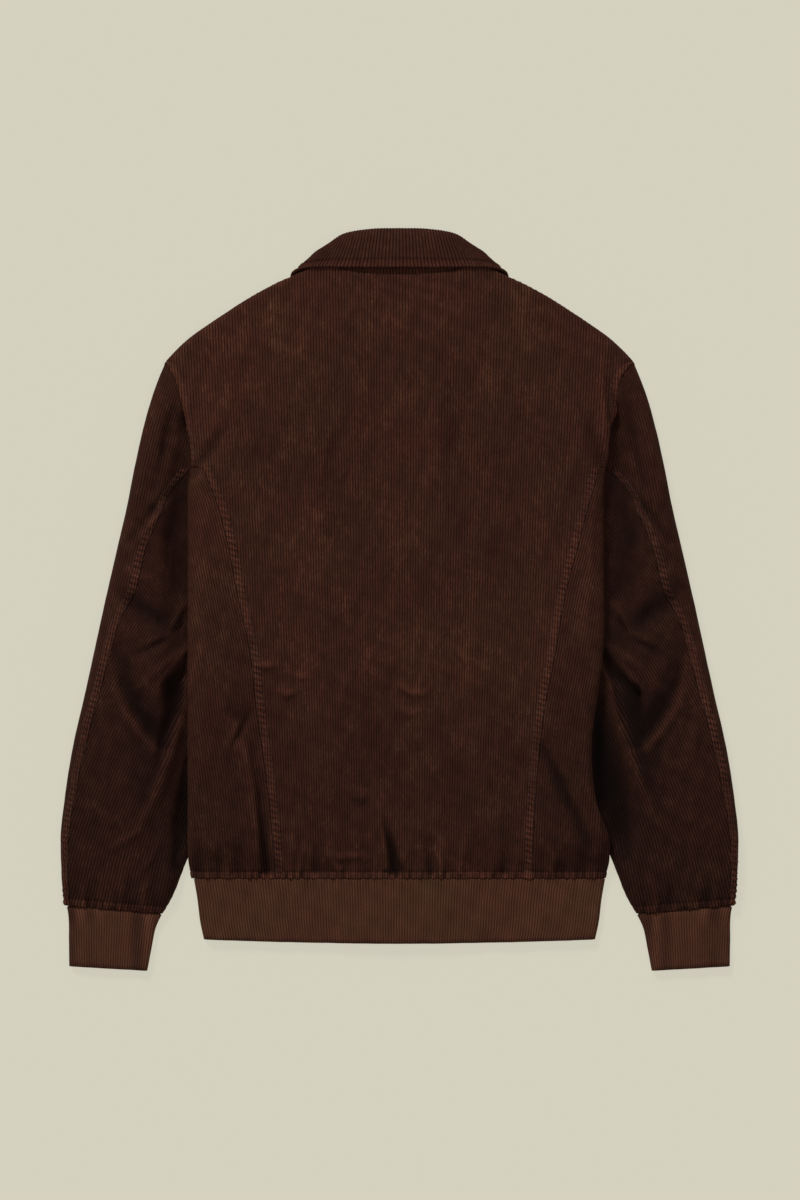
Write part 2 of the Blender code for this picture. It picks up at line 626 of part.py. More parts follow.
panel_grid("back_centre", len(BACK_LEVELS) - 1, BACK_COLUMNS, back_centre_row, CLOTH, cloth_material)
for side, word in ((-1, "left"), (1, "right")):
    panel_grid("back_side_" + word, len(SIDE_LEVELS) - 1, SIDE_COLUMNS, back_side_row(side), CLOTH,
               cloth_material, flip=side > 0)
    panel_grid("front_" + word, len(BACK_LEVELS) - 1, FRONT_COLUMNS, front_row(side), CLOTH,
               cloth_material, flip=side < 0)
    panel_grid("sleeve_top_" + word, len(SLEEVE_LEVELS + CAP_LEVELS) - 1, TOP_COLUMNS,
               sleeve_top_row(side), CLOTH, cloth_material, flip=side < 0)
    panel_grid("sleeve_under_" + word, len(SLEEVE_LEVELS) - 1, UNDER_COLUMNS, sleeve_under_row(side),
               CLOTH, cloth_material, flip=side < 0)
    panel_grid("cuff_" + word, 2, CUFF_COLUMNS, cuff_row(side), RIB, rib_material, flip=side < 0)
panel_grid("hem_rib", 3, HEM_COLUMNS, hem_row, RIB, rib_material)
panel_grid("collar", 2 * len(TURNS) - 2, COLLAR_COLUMNS, collar_row, COLLAR, cloth_material)
for number, button_y in enumerate(BUTTON_LEVELS, 1):
    make_button(f"button_{number}", button_y)
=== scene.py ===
# %% [markdown]
# # A corduroy blouson laid flat, with its back up
# This lesson dresses a plain model of a jacket in real-looking cloth. Every panel becomes a fine
# grid whose columns run along the cord's wales, so the ribs of the corduroy are real geometry. A
# bump pattern on a smooth panel would be quicker, but the wales would not stand up at the folds,
# and they would not end at the seams as cut cloth does.

# %% The frame that everything is built around
import math

import bmesh
import bpy
import numpy as np
from mathutils import Matrix, Vector


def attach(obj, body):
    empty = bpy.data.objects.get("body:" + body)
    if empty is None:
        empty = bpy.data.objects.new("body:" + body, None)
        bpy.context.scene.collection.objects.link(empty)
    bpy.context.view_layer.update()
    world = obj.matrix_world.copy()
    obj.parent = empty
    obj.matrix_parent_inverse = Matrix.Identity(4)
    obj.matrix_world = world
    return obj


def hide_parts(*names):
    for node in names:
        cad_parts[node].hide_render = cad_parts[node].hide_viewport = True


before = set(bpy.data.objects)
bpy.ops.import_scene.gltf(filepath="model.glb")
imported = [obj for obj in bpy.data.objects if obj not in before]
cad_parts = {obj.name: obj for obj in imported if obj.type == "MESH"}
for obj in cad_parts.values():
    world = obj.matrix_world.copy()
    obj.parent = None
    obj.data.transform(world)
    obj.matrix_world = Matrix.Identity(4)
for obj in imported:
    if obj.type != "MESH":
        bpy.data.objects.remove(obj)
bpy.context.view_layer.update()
MM = 0.001
ROOT = "root"

# %% [markdown]
# ## Sizes as short tables
# A pattern cutter writes a garment down as widths at a few levels. The same is done here: each
# table has one row for a level y, in millimetres, and a smooth curve runs through the rows.

# %% A smooth curve through a table


def table(columns, *rows):
    names = columns.split()
    return {name: np.array([row[i] for row in rows], float) for i, name in enumerate(names)}


def at(rows, column, level):
    """A column's value at a level, on a smooth curve through the rows."""
    levels = rows["y"]
    values = rows[column]
    slopes = np.gradient(values, levels)
    secants = np.diff(values) / np.diff(levels)
    slopes[1:-1] = np.where(secants[1:] * secants[:-1] <= 0, 0.0, slopes[1:-1])
    level = min(max(level, levels[0]), levels[-1])
    i = min(int(np.searchsorted(levels, level, side="right")) - 1, len(levels) - 2)
    span = levels[i + 1] - levels[i]
    t = (level - levels[i]) / span
    return float(values[i] * (1 + 2 * t) * (1 - t) ** 2 + slopes[i] * span * t * (1 - t) ** 2
                 + values[i + 1] * t * t * (3 - 2 * t) + slopes[i + 1] * span * t * t * (t - 1))


def ramp(value, start, end):
    """0 at start, 1 at end, smooth between. It works on one number or on a whole array."""
    t = np.clip((np.asarray(value, float) - start) / (end - start), 0.0, 1.0)
    return t * t * (3 - 2 * t)


def mix(a, b, t):
    return a + (b - a) * t


print("a ramp from 0 to 1 has come to", float(ramp(0.25, 0, 1)), "at its quarter")

# %% The tables of the jacket
BODY = table("y left right crown",
             (-279, -208.5, 206.5, 8.2), (-264, -211.0, 209.5, 12.5), (-245, -211.5, 210.0, 15.0),
             (-200, -211.5, 196.0, 15.5), (-145, -211.5, 191.5, 15.5), (-95, -211.5, 198.0, 15.5),
             (-50, -211.5, 203.5, 15.5), (30, -211.5, 204.0, 15.5), (110, -211.5, 204.0, 15.5),
             (132, -208.0, 205.5, 15.5), (240, -207.0, 207.0, 15.5), (300, -207.0, 207.0, 14.6),
             (341, -207.0, 207.0, 14.0))
PRINCESS = table("y left right",
                 (-279, -124.5, 133.0), (-235, -127.0, 134.0), (-160, -135.5, 139.0),
                 (-112, -142.5, 144.5), (-53, -149.0, 155.5), (5, -161.5, 165.5),
                 (59, -172.0, 179.5), (101, -183.5, 190.5), (132, -196.5, 200.0))
ARMHOLE = table("y back_left back_right front",
                (132, -207.5, 205.5, 176), (145, -207.5, 207.5, 191), (160, -209.5, 208.5, 200),
                (172, -212.0, 210.5, 205), (185, -214.5, 216.5, 210), (200, -218.5, 218.0, 216),
                (223, -225.5, 221.5, 226), (238, -234.0, 234.0, 233))
SLEEVE = table("y outer inner crown",
               (-306, 335.5, 237.5, 8.0), (-290, 337.5, 228.0, 13.0), (-264, 339.0, 216.5, 16.5),
               (-240, 339.5, 205.0, 18.0), (-200, 335.5, 185.0, 19.5), (-144, 326.5, 175.0, 20.5),
               (-96, 315.5, 175.0, 21.5), (-48, 305.0, 175.0, 22.0), (0, 294.5, 175.0, 22.0),
               (48, 283.5, 175.0, 22.0), (96, 272.5, 175.0, 22.0), (132, 265.5, 179.0, 21.5),
               (168, 257.5, 190.0, 20.5), (204, 247.5, 205.0, 19.5), (228, 238.5, 220.0, 18.0),
               (240, 233.5, 226.0, 17.0))
SLEEVE_SEAMS = table("y elbow front",
                     (-306, 330.0, 306.0), (-253, 331.0, 302.0), (-202, 324.5, 297.0),
                     (-162, 316.5, 290.0), (-121, 306.5, 281.0), (-92, 298.5, 273.0),
                     (-62, 290.5, 264.0), (-22, 279.0, 251.0), (14, 261.5, 238.0),
                     (45, 254.5, 226.0), (85, 238.5, 207.0), (112, 225.5, 193.0), (132, 209.0, 182.0))
SHOULDER = table("y half",
                 (238, 235.0), (252, 222.0), (264, 208.5), (276, 191.5), (288, 173.5),
                 (300, 155.0), (312, 134.0), (319, 120.5), (325, 106.5), (333, 93.0), (341, 80.5))
HEM = table("y half", (-340, 196.0), (-324, 199.5), (-300, 202.5), (-279.6, 206.0))
CUFF = table("y outer inner",
             (0, 333.5, 238.0), (0.15, 332.0, 242.5), (0.6, 331.5, 248.5), (1, 331.0, 253.0))
print("as it lies the body is", round(at(BODY, "right", 0) - at(BODY, "left", 0), 1), "mm wide")

# %% Cloths, and the levels of the seams
SEAM = 0.3                # gap between two pieces that are sewn together
CLOTH = 1.2               # corduroy
RIB = 1.9                 # double rib knit
COLLAR = 2.0              # two layers of corduroy
WALE = 2.7                # from one wale of the corduroy to the next
KNIT_RIB = 2.8            # from one rib of the knit to the next
HEM_EDGE_Y = -340.0
SLEEVE_Y = -306.0         # seam of the sleeve and its cuff
HEM_Y = -279.0            # seam of the body and the hem band
UNDERARM_Y = 132.0
SHOULDER_TIP_Y = 238.0
NECK_Y = 341.0
print("the corduroy has", round(25.4 / WALE, 1), "wales to the inch")

# %% [markdown]
# ## The form under the cloth
# A jacket laid flat is a set of flattened tubes. Each level y has a cross-section: a top layer, a
# rounded rim and a bottom layer. The heights below say how high the cloth lies at a place: low at
# the hem, higher where the body rests on its own sleeves.

# %% Heights of the body
HEM_TOP = 8.2             # top of the hem band
LAP_RISE = 2.6            # what the lapped fronts add to it at the middle
SIDE_RISE = 8.0           # how much higher the body's sides lie, on the sleeves
SLEEVE_ROOM = 9.4         # room for the sleeves under the body's sides
COLLAR_ROOM = 3.2         # room for the collar's points under the fronts
FRONT_LAYERS = {-1: 2.7, 1: 4.9}  # how high each front lies where they lap


def rib_top(x):
    return HEM_TOP + LAP_RISE * (1 - ramp(abs(x), 30, 75))


def body_top(x, y):
    """Height of the back before its creases."""
    on_sleeve = ramp(y, -275, -235) * (1 - 0.75 * ramp(y, 150, 235)) * (1 - ramp(y, 235, 285))
    height = at(BODY, "crown", y) + SIDE_RISE * on_sleeve * ramp(abs(x), 110, 185)
    return mix(rib_top(x), height, ramp(y, -281, -250) ** 0.6)


def body_underside(x, y):
    """Height of the fronts over the sleeves at their sides and over the collar's points."""
    reach = at(SLEEVE, "inner", y)
    on_sleeve = ramp(abs(x), reach - 30, reach - 8) * (1 - ramp(y, UNDERARM_Y, 158)) * ramp(y, -276, -250)
    on_collar = ramp(y, 203, 224) * (1 - ramp(abs(x), 132, 156))
    return SLEEVE_ROOM * on_sleeve + COLLAR_ROOM * on_collar


def in_lap(x, side):
    """0 where a front lies by itself and 1 where it laps the other."""
    return ramp(-side * x, -48, -18)


def front_underside(x, y, side):
    lap = FRONT_LAYERS[side] * in_lap(x, side) + 1.2 * in_lap(x, side) * ramp(y, 205, 226)
    return np.maximum(body_underside(x, y), lap)


print("the back lies", round(float(body_top(0, 0)), 1), "mm high at its middle")

# %% Heights at the armhole and along the sleeve
ARMHOLE_ROLL = 9.5        # how far the back rolls down at the lower armhole
SLEEVE_TOP = 8.0          # height of the sleeve where it is tucked under the body
SLEEVE_EASE = 3.2         # how far the sleeve lies below the armhole's edge
CROWN_X = 213.0           # the sleeve rises from here
CROWN_RUN = 30.0          # and over this width


def back_roll(y):
    return ARMHOLE_ROLL * (1 - ramp(y, 168, 204))


def armhole_edge(y, side):
    return at(ARMHOLE, "back_left" if side < 0 else "back_right", y)


def body_edge(y, side):
    return at(BODY, "left" if side < 0 else "right", y)


def sleeve_top(x, y, side):
    """Height of the sleeve's upper layer before its creases."""
    above = max(y, UNDERARM_Y)
    edge = body_top(armhole_edge(above, side), above) - back_roll(above)
    beside = edge - SLEEVE_EASE * (1 - ramp(above, 170, 204))
    tucked = mix(SLEEVE_TOP, beside, ramp(y, 118, 160))
    start = mix(CROWN_X, at(SLEEVE, "inner", y) - 12, ramp(-y, 225, 262))
    return mix(tucked, at(SLEEVE, "crown", y), ramp(abs(x), start, start + CROWN_RUN))


print("a sleeve lies", round(float(sleeve_top(-250, 0, -1)), 1), "mm high at its middle")

# %% Layers and their rims


def rounded(distance, reach):
    inside = np.clip(1 - np.asarray(distance, float) / reach, 0.0, 1.0)
    return np.sqrt(1 - inside * inside)


def spread(start, end, rim_start, rim_end, count=90):
    """Places from start to end, packed closely at the ends that are rounded."""
    across = end - start
    quarter = 1 - np.cos(np.linspace(0, math.pi / 2, 16))
    places = [np.linspace(start, end, count)]
    if rim_start:
        places.append(start + across * quarter * min(rim_start / abs(across), 1.0))
    if rim_end:
        places.append(end - across * quarter * min(rim_end / abs(across), 1.0))
    joined = np.unique(np.round(np.concatenate(places), 5))
    return joined[::-1] if across < 0 else joined


def layer(x_from, x_to, height, rim_from=(0, 0), rim_to=(0, 0)):
    """One layer of a section; a rim is (reach, height of the rim)."""
    x = spread(x_from, x_to, rim_from[0], rim_to[0])
    z = height(x) + np.zeros(len(x))
    if rim_from[0]:
        z = mix(rim_from[1], z, rounded(abs(x - x_from), rim_from[0]))
    if rim_to[0]:
        z = mix(rim_to[1], z, rounded(abs(x - x_to), rim_to[0]))
    return np.column_stack([x, z])


print("a layer 400 mm wide has", len(spread(0, 400, 10, 10)), "points")

# %% Lengths along a line


def lengths_along(line):
    return np.concatenate([[0], np.cumsum(np.linalg.norm(np.diff(line, axis=0), axis=1))])


def total(line):
    return float(lengths_along(line)[-1])


def points_along(line, wanted):
    """Points of a line at given lengths along it."""
    lengths = lengths_along(line)
    return np.column_stack([np.interp(wanted, lengths, column) for column in line.T])


def length_at(line, x):
    """Length along a line that runs one way in x, where it reaches x."""
    order = 1 if line[-1, 0] > line[0, 0] else -1
    return float(np.interp(x * order, line[:, 0] * order, lengths_along(line)))


def cut_line(line, start, end):
    """The stretch of a line between two lengths."""
    lengths = lengths_along(line)
    inside = (lengths > start + 1e-3) & (lengths < end - 1e-3)
    return points_along(line, np.concatenate([[start], lengths[inside], [end]]))


print("a line from 0, 0 to 3, 4 is", total(np.array([[0.0, 0.0], [3.0, 4.0]])), "long")

# %% The back's section at a level
RIM = 10.0                # width of the rounded rim at an edge of the body
SLEEVE_RIM = 14.0         # and of a sleeve
SLEEVE_RIM_HEIGHT = 7.0
NECK_RIM_HEIGHT = 8.5


def rim_height(y):
    return mix(SLEEVE_RIM_HEIGHT, NECK_RIM_HEIGHT, ramp(y, 250, 320))


def outline_round(x, y, height):
    return mix(SLEEVE_RIM_HEIGHT, height, rounded(at(SLEEVE, "outer", y) - abs(x), SLEEVE_RIM))


def side_rim(y, side):
    x = body_edge(y, side)
    return mix(body_underside(x, y), body_top(x, y), 0.5)


def back_section(y):
    """The back's top layer from the left edge to the right edge."""
    if y <= UNDERARM_Y:
        return layer(body_edge(y, -1), body_edge(y, 1), lambda x: body_top(x, y),
                     (RIM, side_rim(y, -1)), (RIM, side_rim(y, 1)))
    if y <= SHOULDER_TIP_Y:
        edges = armhole_edge(y, -1), armhole_edge(y, 1)
        rims = [(RIM, outline_round(x, y, body_top(x, y)) - back_roll(y)) for x in edges]
        return layer(*edges, lambda x: outline_round(x, y, body_top(x, y)), *rims)
    half = at(SHOULDER, "half", y)
    return layer(-half, half, lambda x: body_top(x, y), *[(RIM, rim_height(y))] * 2)


middle = back_section(0.0)
print("width of the back at y = 0, over its rims:", round(total(middle), 1), "mm")

# %% [markdown]
# ## Creases
# Cloth that has been worn and folded keeps creases. Each one here is a line of a few stops, and every stop
# has its own height and width, so a crease can start soft, grow and run out. A positive height is a ridge
# and a negative one is a trough. The two half widths make one side of it steeper than the other, as gravity
# and the hand leave it.

# %% A crease as a line of stops
RELIEF = 1.5               # how strongly the creases stand out
RUN_OUT = 9.0              # how far at most a crease runs on past its last stop
SLACK = ((0.031, 0.012, 0.3), (-0.017, 0.021, 1.9), (0.052, -0.017, 4.1), (0.024, 0.047, 2.7))
SLACK_HEIGHT = 0.24


def slack(x, y):
    """Gentle unevenness of cloth that lies loose: four slow waves that cross each other."""
    return SLACK_HEIGHT * sum(np.sin(2 * math.pi * (a * x + b * y) + c) for a, b, c in SLACK)


def crease_height(x, y, creases):
    """Height that all the creases add at arrays of places. A stop is x, y, height, left, right."""
    height = np.zeros(np.shape(x))
    for stops in creases:
        best = np.zeros(np.shape(x))
        for a, b in zip(stops[:-1], stops[1:]):
            along = np.array([b[0] - a[0], b[1] - a[1]], float)
            length = float(np.linalg.norm(along)) or 1.0
            across = ((x - a[0]) * along[1] - (y - a[1]) * along[0]) / length
            t = ((x - a[0]) * along[0] + (y - a[1]) * along[1]) / length ** 2
            inside = np.clip(t, 0.0, 1.0)
            beyond = (t - inside) * length
            width = np.where(across < 0, mix(a[3], b[3], inside), mix(a[4], b[4], inside))
            distance = np.sqrt((across / width) ** 2 + (beyond / np.minimum(width, RUN_OUT)) ** 2)
            here = mix(a[2], b[2], inside) * np.exp(-distance ** 2)
            best = np.where(abs(here) > abs(best), here, best)
        height += best
    return RELIEF * height


def mirrored(creases):
    """The same creases on the other sleeve, with their two sides swapped."""
    return [[(-x, y, height, right, left) for x, y, height, left, right in stops]
            for stops in creases]


print("loose cloth moves up and down by", SLACK_HEIGHT * len(SLACK), "mm at most")

# %% Creases of the body
BODY_CREASES = [
    [(-27, -182, 0.0, 6, 5), (-21, -212, 2.0, 7, 4), (-16, -240, 3.2, 8, 3), (-13, -268, 3.6, 7, 3)],
    [(-15, -222, -1.0, 3, 3), (-11, -240, -6.0, 4, 3), (-8, -256, -8.5, 5, 3), (-6, -271, -8.0, 7, 4)],
    [(1, -236, 0.0, 4, 7), (6, -258, 2.0, 4, 8), (8, -272, 1.6, 4, 7)],
    [(-149, -113, -0.8, 3, 4), (-157, -127, -2.6, 3, 4), (-166, -145, -1.2, 4, 4)],
    [(-153, -116, 0.3, 3, 3), (-163, -130, 1.6, 3, 3), (-172, -147, 0.6, 4, 3)],
    [(-165, -140, 0.4, 6, 4), (-156, -152, 2.8, 8, 4), (-148, -190, 3.0, 9, 4),
     (-141, -240, 2.6, 8, 4), (-139, -268, 2.0, 6, 4)],
    [(-148, -146, -1.2, 4, 4), (-140, -190, -3.0, 5, 4), (-136, -236, -5.0, 5, 4),
     (-134, -272, -6.0, 5, 4)],
    [(136, -138, 0.0, 6, 6), (150, -166, -3.0, 8, 5), (168, -205, -3.4, 8, 6), (186, -243, -1.8, 7, 7)],
    [(148, -146, 0.0, 6, 6), (163, -172, 1.8, 5, 8), (182, -214, 2.0, 6, 8), (195, -240, 0.8, 7, 7)],
    [(184, -138, 0.6, 3, 3), (187, -170, 2.0, 3, 4), (189, -205, 1.0, 4, 4)],
    [(191, -118, 0.5, 4, 4), (195, -180, 1.6, 4, 4), (200, -252, 1.3, 4, 4)],
    [(193, 104, 1.2, 4, 6), (189, 30, 1.6, 4, 7), (185, -34, 0.8, 5, 6)],
    [(-197, 120, 0.9, 7, 8), (-196, 20, 1.3, 8, 9), (-200, -90, 0.9, 8, 9), (-198, -200, 0.5, 8, 8)],
    [(-143, -63, 0.5, 2, 4), (-134, -66, 2.2, 2, 4), (-123, -64, 0.4, 2, 4)],
    [(-122, -91, 0.5, 2, 4), (-112, -94, 2.2, 2, 4), (-102, -90, 0.5, 3, 4)],
    [(-106, -73, 0.4, 2, 4), (-97, -77, 1.9, 2, 4), (-90, -74, 0.3, 3, 4)],
    [(-4, -83, 0.4, 3, 5), (10, -92, 2.0, 2, 4), (22, -94, 1.8, 2, 4), (34, -88, 0.3, 3, 5)],
    [(0, -108, 0.4, 3, 5), (12, -113, 1.9, 2, 4), (24, -111, 0.4, 3, 5)],
    [(-60, -68, 0.3, 4, 5), (-54, -84, 1.8, 3, 4), (-56, -102, 0.4, 4, 5)],
    [(-36, -40, 0.2, 4, 5), (-30, -58, 1.7, 3, 5), (-33, -76, 0.3, 4, 5)],
    [(62, -52, 0.3, 5, 4), (70, -74, 1.0, 4, 3), (66, -98, 0.3, 5, 4)],
    [(-176, -86, 0.4, 3, 3), (-168, -98, 1.4, 3, 3), (-160, -104, 0.5, 3, 3)],
    [(-182, -64, 0.3, 3, 4), (-172, -76, 1.1, 3, 3), (-158, -82, 0.5, 3, 3)],
    [(-172, -110, -0.4, 4, 4), (-161, -117, -1.6, 4, 4), (-150, -118, -0.6, 4, 4)],
    [(52, 232, -0.4, 12, 14), (48, 150, -1.3, 10, 14), (56, 58, -0.5, 11, 14)],
    [(36, 216, 0.2, 9, 9), (34, 150, 0.9, 9, 8), (40, 90, 0.2, 9, 9)],
    [(-60, 208, -0.3, 14, 12), (-70, 130, -1.1, 14, 11), (-62, 40, -0.3, 14, 12)],
    [(-6, 190, 0.3, 14, 14), (-2, 60, 0.9, 12, 14), (-10, -60, 0.4, 12, 14)],
    [(-92, 40, 0.3, 12, 11), (-88, -80, 1.1, 11, 12), (-78, -190, 0.8, 10, 11)],
    [(66, -30, 0.3, 11, 12), (74, -130, 1.1, 10, 12), (86, -232, 0.9, 9, 10)],
    [(-206, 126, -1.6, 5, 6), (-190, 150, -2.2, 6, 7), (-176, 172, -0.6, 7, 8)],
    [(-204, 140, 0.8, 4, 4), (-190, 163, 1.3, 4, 5), (-174, 186, 0.4, 5, 5)],
    [(204, 128, -1.4, 6, 5), (192, 158, -1.8, 7, 6), (184, 188, -0.5, 8, 7)],
    [(203, 246, 0.2, 4, 4), (201, 205, 1.8, 4, 3), (205, 171, 2.2, 4, 3), (205, 140, 1.4, 4, 3)],
    [(209, 240, -0.3, 4, 4), (211, 205, -2.4, 4, 5), (214, 175, -2.4, 4, 5)],
    [(-196, 210, 0.2, 8, 8), (-186, 180, 1.1, 7, 7), (-170, 150, 0.3, 8, 8)],
    [(-48, -192, 0.3, 3, 4), (-38, -196, 1.8, 2, 4), (-26, -193, 0.3, 3, 4)],
    [(-46, -200, -0.3, 3, 4), (-38, -203, -1.6, 3, 4), (-28, -201, -0.3, 3, 4)],
    [(-75, -252, 0.4, 2, 4), (-60, -257, 2.0, 2, 4), (-40, -255, 1.4, 2, 4), (-24, -258, 0.4, 2, 4)],
    [(-92, -238, 0.2, 3, 4), (-96, -252, 1.6, 3, 3), (-99, -271, 1.9, 3, 3)],
    [(-74, -242, 0.2, 3, 3), (-70, -258, 1.7, 3, 4), (-60, -270, 1.6, 3, 4)],
    [(-84, -244, -0.2, 3, 4), (-83, -258, -1.8, 4, 4), (-84, -273, -2.4, 4, 4)],
    [(-46, -226, 0.0, 5, 5), (-44, -250, 1.2, 4, 4), (-45, -272, 1.6, 4, 4)],
    [(-120, -250, 0.0, 3, 4), (-116, -262, 1.4, 3, 4), (-113, -272, 1.6, 3, 4)],
    [(30, -222, 0.0, 5, 5), (29, -250, -1.5, 4, 4), (31, -273, -2.1, 4, 4)],
    [(41, -236, 0.0, 4, 4), (40, -255, 1.4, 3, 4), (42, -272, 1.8, 3, 4)],
    [(66, -240, 0.0, 4, 4), (63, -256, 1.2, 3, 4), (61, -272, 1.6, 3, 4)],
    [(92, -232, 0.0, 4, 5), (95, -252, 1.3, 3, 4), (94, -272, 1.7, 3, 4)],
    [(104, -226, 0.0, 5, 5), (106, -252, -1.6, 4, 4), (105, -273, -2.2, 4, 4)],
    [(118, -244, 0.0, 3, 4), (119, -258, 1.3, 3, 4), (117, -272, 1.6, 3, 4)],
    [(150, -246, 0.2, 3, 4), (154, -260, 1.4, 3, 4), (152, -272, 1.6, 3, 4)],
    [(-176, -246, 0.2, 3, 4), (-172, -260, 1.3, 3, 4), (-171, -272, 1.6, 3, 4)],
]
print(len(BODY_CREASES), "creases on the body")

# %% Creases that both sleeves share
UPPER_SLEEVE = [
    [(-213, 178, -2.4, 6, 7), (-216, 140, -1.6, 8, 9), (-226, 60, -3.0, 10, 10), (-222, 10, -1.8, 9, 9)],
    [(-226, 112, -0.8, 5, 5), (-246, 88, -3.2, 6, 5), (-268, 58, -1.6, 6, 5)],
    [(-230, 98, 0.4, 3, 6), (-250, 74, 2.0, 3, 6), (-269, 50, 0.9, 3, 6)],
    [(-288, 14, -0.4, 8, 8), (-277, 4, -1.6, 10, 10), (-262, -6, -3.4, 11, 12), (-240, -22, -3.0, 9, 10)],
    [(-270, 28, 0.3, 3, 5), (-258, 22, 1.4, 3, 5), (-246, 24, 0.4, 3, 5)],
    [(-213, -3, 0.6, 3, 4), (-222, -14, 1.9, 3, 3), (-230, -35, 2.0, 3, 3), (-252, -44, 0.8, 3, 3)],
    [(-220, -24, -1.4, 4, 5), (-238, -42, -2.4, 4, 5), (-260, -54, -1.4, 5, 5)],
    [(-246, 200, 0.2, 6, 5), (-252, 150, 1.4, 6, 5), (-262, 100, 0.9, 6, 5)],
    [(-226, 196, -0.8, 4, 5), (-234, 150, -2.4, 5, 5), (-244, 112, -1.2, 5, 5)],
    [(-240, 226, 0.2, 3, 3), (-244, 206, 1.0, 3, 3), (-242, 186, 0.3, 3, 3)],
]
LOWER_SLEEVE = [
    [(-206, -44, 1.2, 5, 4), (-232, -62, 2.4, 6, 4), (-262, -90, 1.2, 7, 5)],
    [(-284, -50, -1.5, 9, 4), (-277, -83, -3.4, 13, 4), (-266, -109, -4.4, 14, 4),
     (-252, -131, -4.6, 13, 4), (-236, -147, -3.6, 10, 4)],
    [(-288, -78, 0.6, 3, 5), (-277, -108, 1.6, 3, 5), (-262, -132, 1.8, 3, 5), (-244, -150, 0.8, 3, 5)],
    [(-258, -142, -0.6, 8, 8), (-256, -164, -1.8, 9, 9), (-264, -192, -0.6, 9, 9)],
    [(-300, -110, 0.3, 6, 5), (-292, -150, 1.6, 6, 5), (-298, -196, 0.6, 6, 5)],
    [(-304, -206, 0.2, 4, 4), (-288, -222, 1.1, 3, 4), (-272, -212, 0.4, 4, 4)],
    [(-238, -236, 0.4, 3, 3), (-248, -256, 1.6, 3, 3), (-260, -270, 0.6, 3, 3)],
    [(-246, -268, 0.4, 3, 4), (-254, -284, 1.6, 3, 4), (-258, -300, 1.6, 3, 3)],
    [(-288, -266, 0.3, 3, 4), (-285, -284, 1.4, 3, 4), (-287, -302, 1.4, 3, 3)],
    [(-270, -268, -0.4, 4, 4), (-272, -288, -1.9, 4, 4), (-273, -304, -1.9, 4, 4)],
    [(-306, -270, -0.3, 4, 4), (-309, -290, -1.5, 4, 4), (-310, -304, -1.5, 4, 4)],
]
BOTH_SLEEVES = UPPER_SLEEVE + LOWER_SLEEVE
print(len(BOTH_SLEEVES), "creases on each sleeve")

# %% The deep fold beside the body, which differs from sleeve to sleeve
LEFT_FOLD = [
    [(-216, -70, -3.0, 3, 5), (-226, -84, -7.5, 8, 7), (-226, -96, -7.5, 8, 8), (-224, -112, -4.5, 7, 10),
     (-232, -132, -2.0, 8, 10)],
    [(-213, -51, 0.6, 3, 3), (-228, -68, 1.8, 3, 3), (-241, -86, 2.0, 4, 3), (-243, -104, 0.8, 4, 4)],
    [(-214, -80, 1.5, 4, 2), (-217, -105, 3.0, 6, 2), (-224, -131, 3.6, 7, 2.5), (-231, -157, 3.6, 8, 3),
     (-242, -188, 3.2, 8, 3), (-252, -212, 2.6, 7, 3), (-263, -232, 2.0, 6, 3), (-289, -247, 0.8, 4, 3)],
    [(-213, -164, -2.0, 4, 4), (-214, -200, -6.0, 4, 6), (-217, -230, -6.0, 5, 8),
     (-221, -262, -3.5, 7, 7)],
    [(-225, -112, -1.6, 3, 5), (-232, -136, -2.8, 3, 6), (-240, -162, -2.0, 3, 6), (-251, -190, -1.4, 3, 6),
     (-262, -214, -0.6, 3, 6)],
]
RIGHT_FOLD = [
    [(204, -54, -3.0, 4, 3), (214, -70, -5.0, 4, 4), (226, -86, -7.0, 5, 6), (233, -96, -10.0, 9, 10),
     (232, -112, -7.5, 11, 9), (238, -132, -3.4, 10, 8)],
    [(214, -56, 0.8, 3, 3), (228, -72, 1.8, 3, 3), (243, -90, 2.2, 3, 4), (246, -106, 0.8, 4, 4)],
    [(204, -66, 1.5, 2, 4), (215, -94, 3.0, 2, 6), (220, -118, 3.4, 2, 7), (230, -149, 3.6, 3, 8),
     (241, -182, 3.2, 3, 8), (254, -214, 2.6, 3, 7), (265, -232, 2.0, 3, 6), (281, -243, 0.8, 3, 5)],
    [(201, -104, -3.0, 6, 6), (201, -135, -7.5, 11, 8), (204, -165, -9.0, 14, 10),
     (210, -197, -8.5, 14, 12), (217, -222, -6.0, 12, 10), (223, -250, -3.5, 9, 9)],
    [(228, -120, -1.6, 5, 3), (238, -150, -2.4, 6, 3), (250, -184, -1.6, 6, 3), (263, -216, -0.6, 6, 3)],
]
CREASES = {"body": BODY_CREASES, "left": BOTH_SLEEVES + LEFT_FOLD,
           "right": mirrored(BOTH_SLEEVES) + RIGHT_FOLD}
print({name: len(creases) for name, creases in CREASES.items()}, "creases by hand")

# %% Creases of the layers that lie underneath
HIDDEN_CREASES = [
    [(-120, 180, 0.0, 12, 10), (-96, 120, 1.2, 12, 10), (-84, 40, 0.4, 12, 10)],
    [(96, 150, 0.0, 10, 12), (110, 60, 1.0, 10, 12), (92, -40, 0.3, 10, 12)],
    [(-60, -120, 0.2, 9, 10), (-72, -200, 1.1, 9, 10), (-70, -266, 0.8, 8, 8)],
    [(58, -140, 0.2, 9, 10), (74, -214, 1.0, 9, 9), (78, -266, 0.7, 8, 8)],
    [(-270, 60, 0.2, 8, 8), (-250, 20, 1.2, 8, 9), (-240, -30, 0.6, 9, 9)],
    [(270, 52, 0.3, 8, 8), (252, 10, 1.1, 9, 8), (238, -36, 0.5, 9, 9)],
    [(-300, -150, 0.3, 8, 8), (-272, -190, 1.1, 8, 8), (-262, -250, 0.4, 8, 8)],
    [(300, -140, 0.3, 8, 8), (274, -196, 1.2, 8, 8), (264, -256, 0.4, 8, 8)],
]
print(len(HIDDEN_CREASES), "creases underneath")

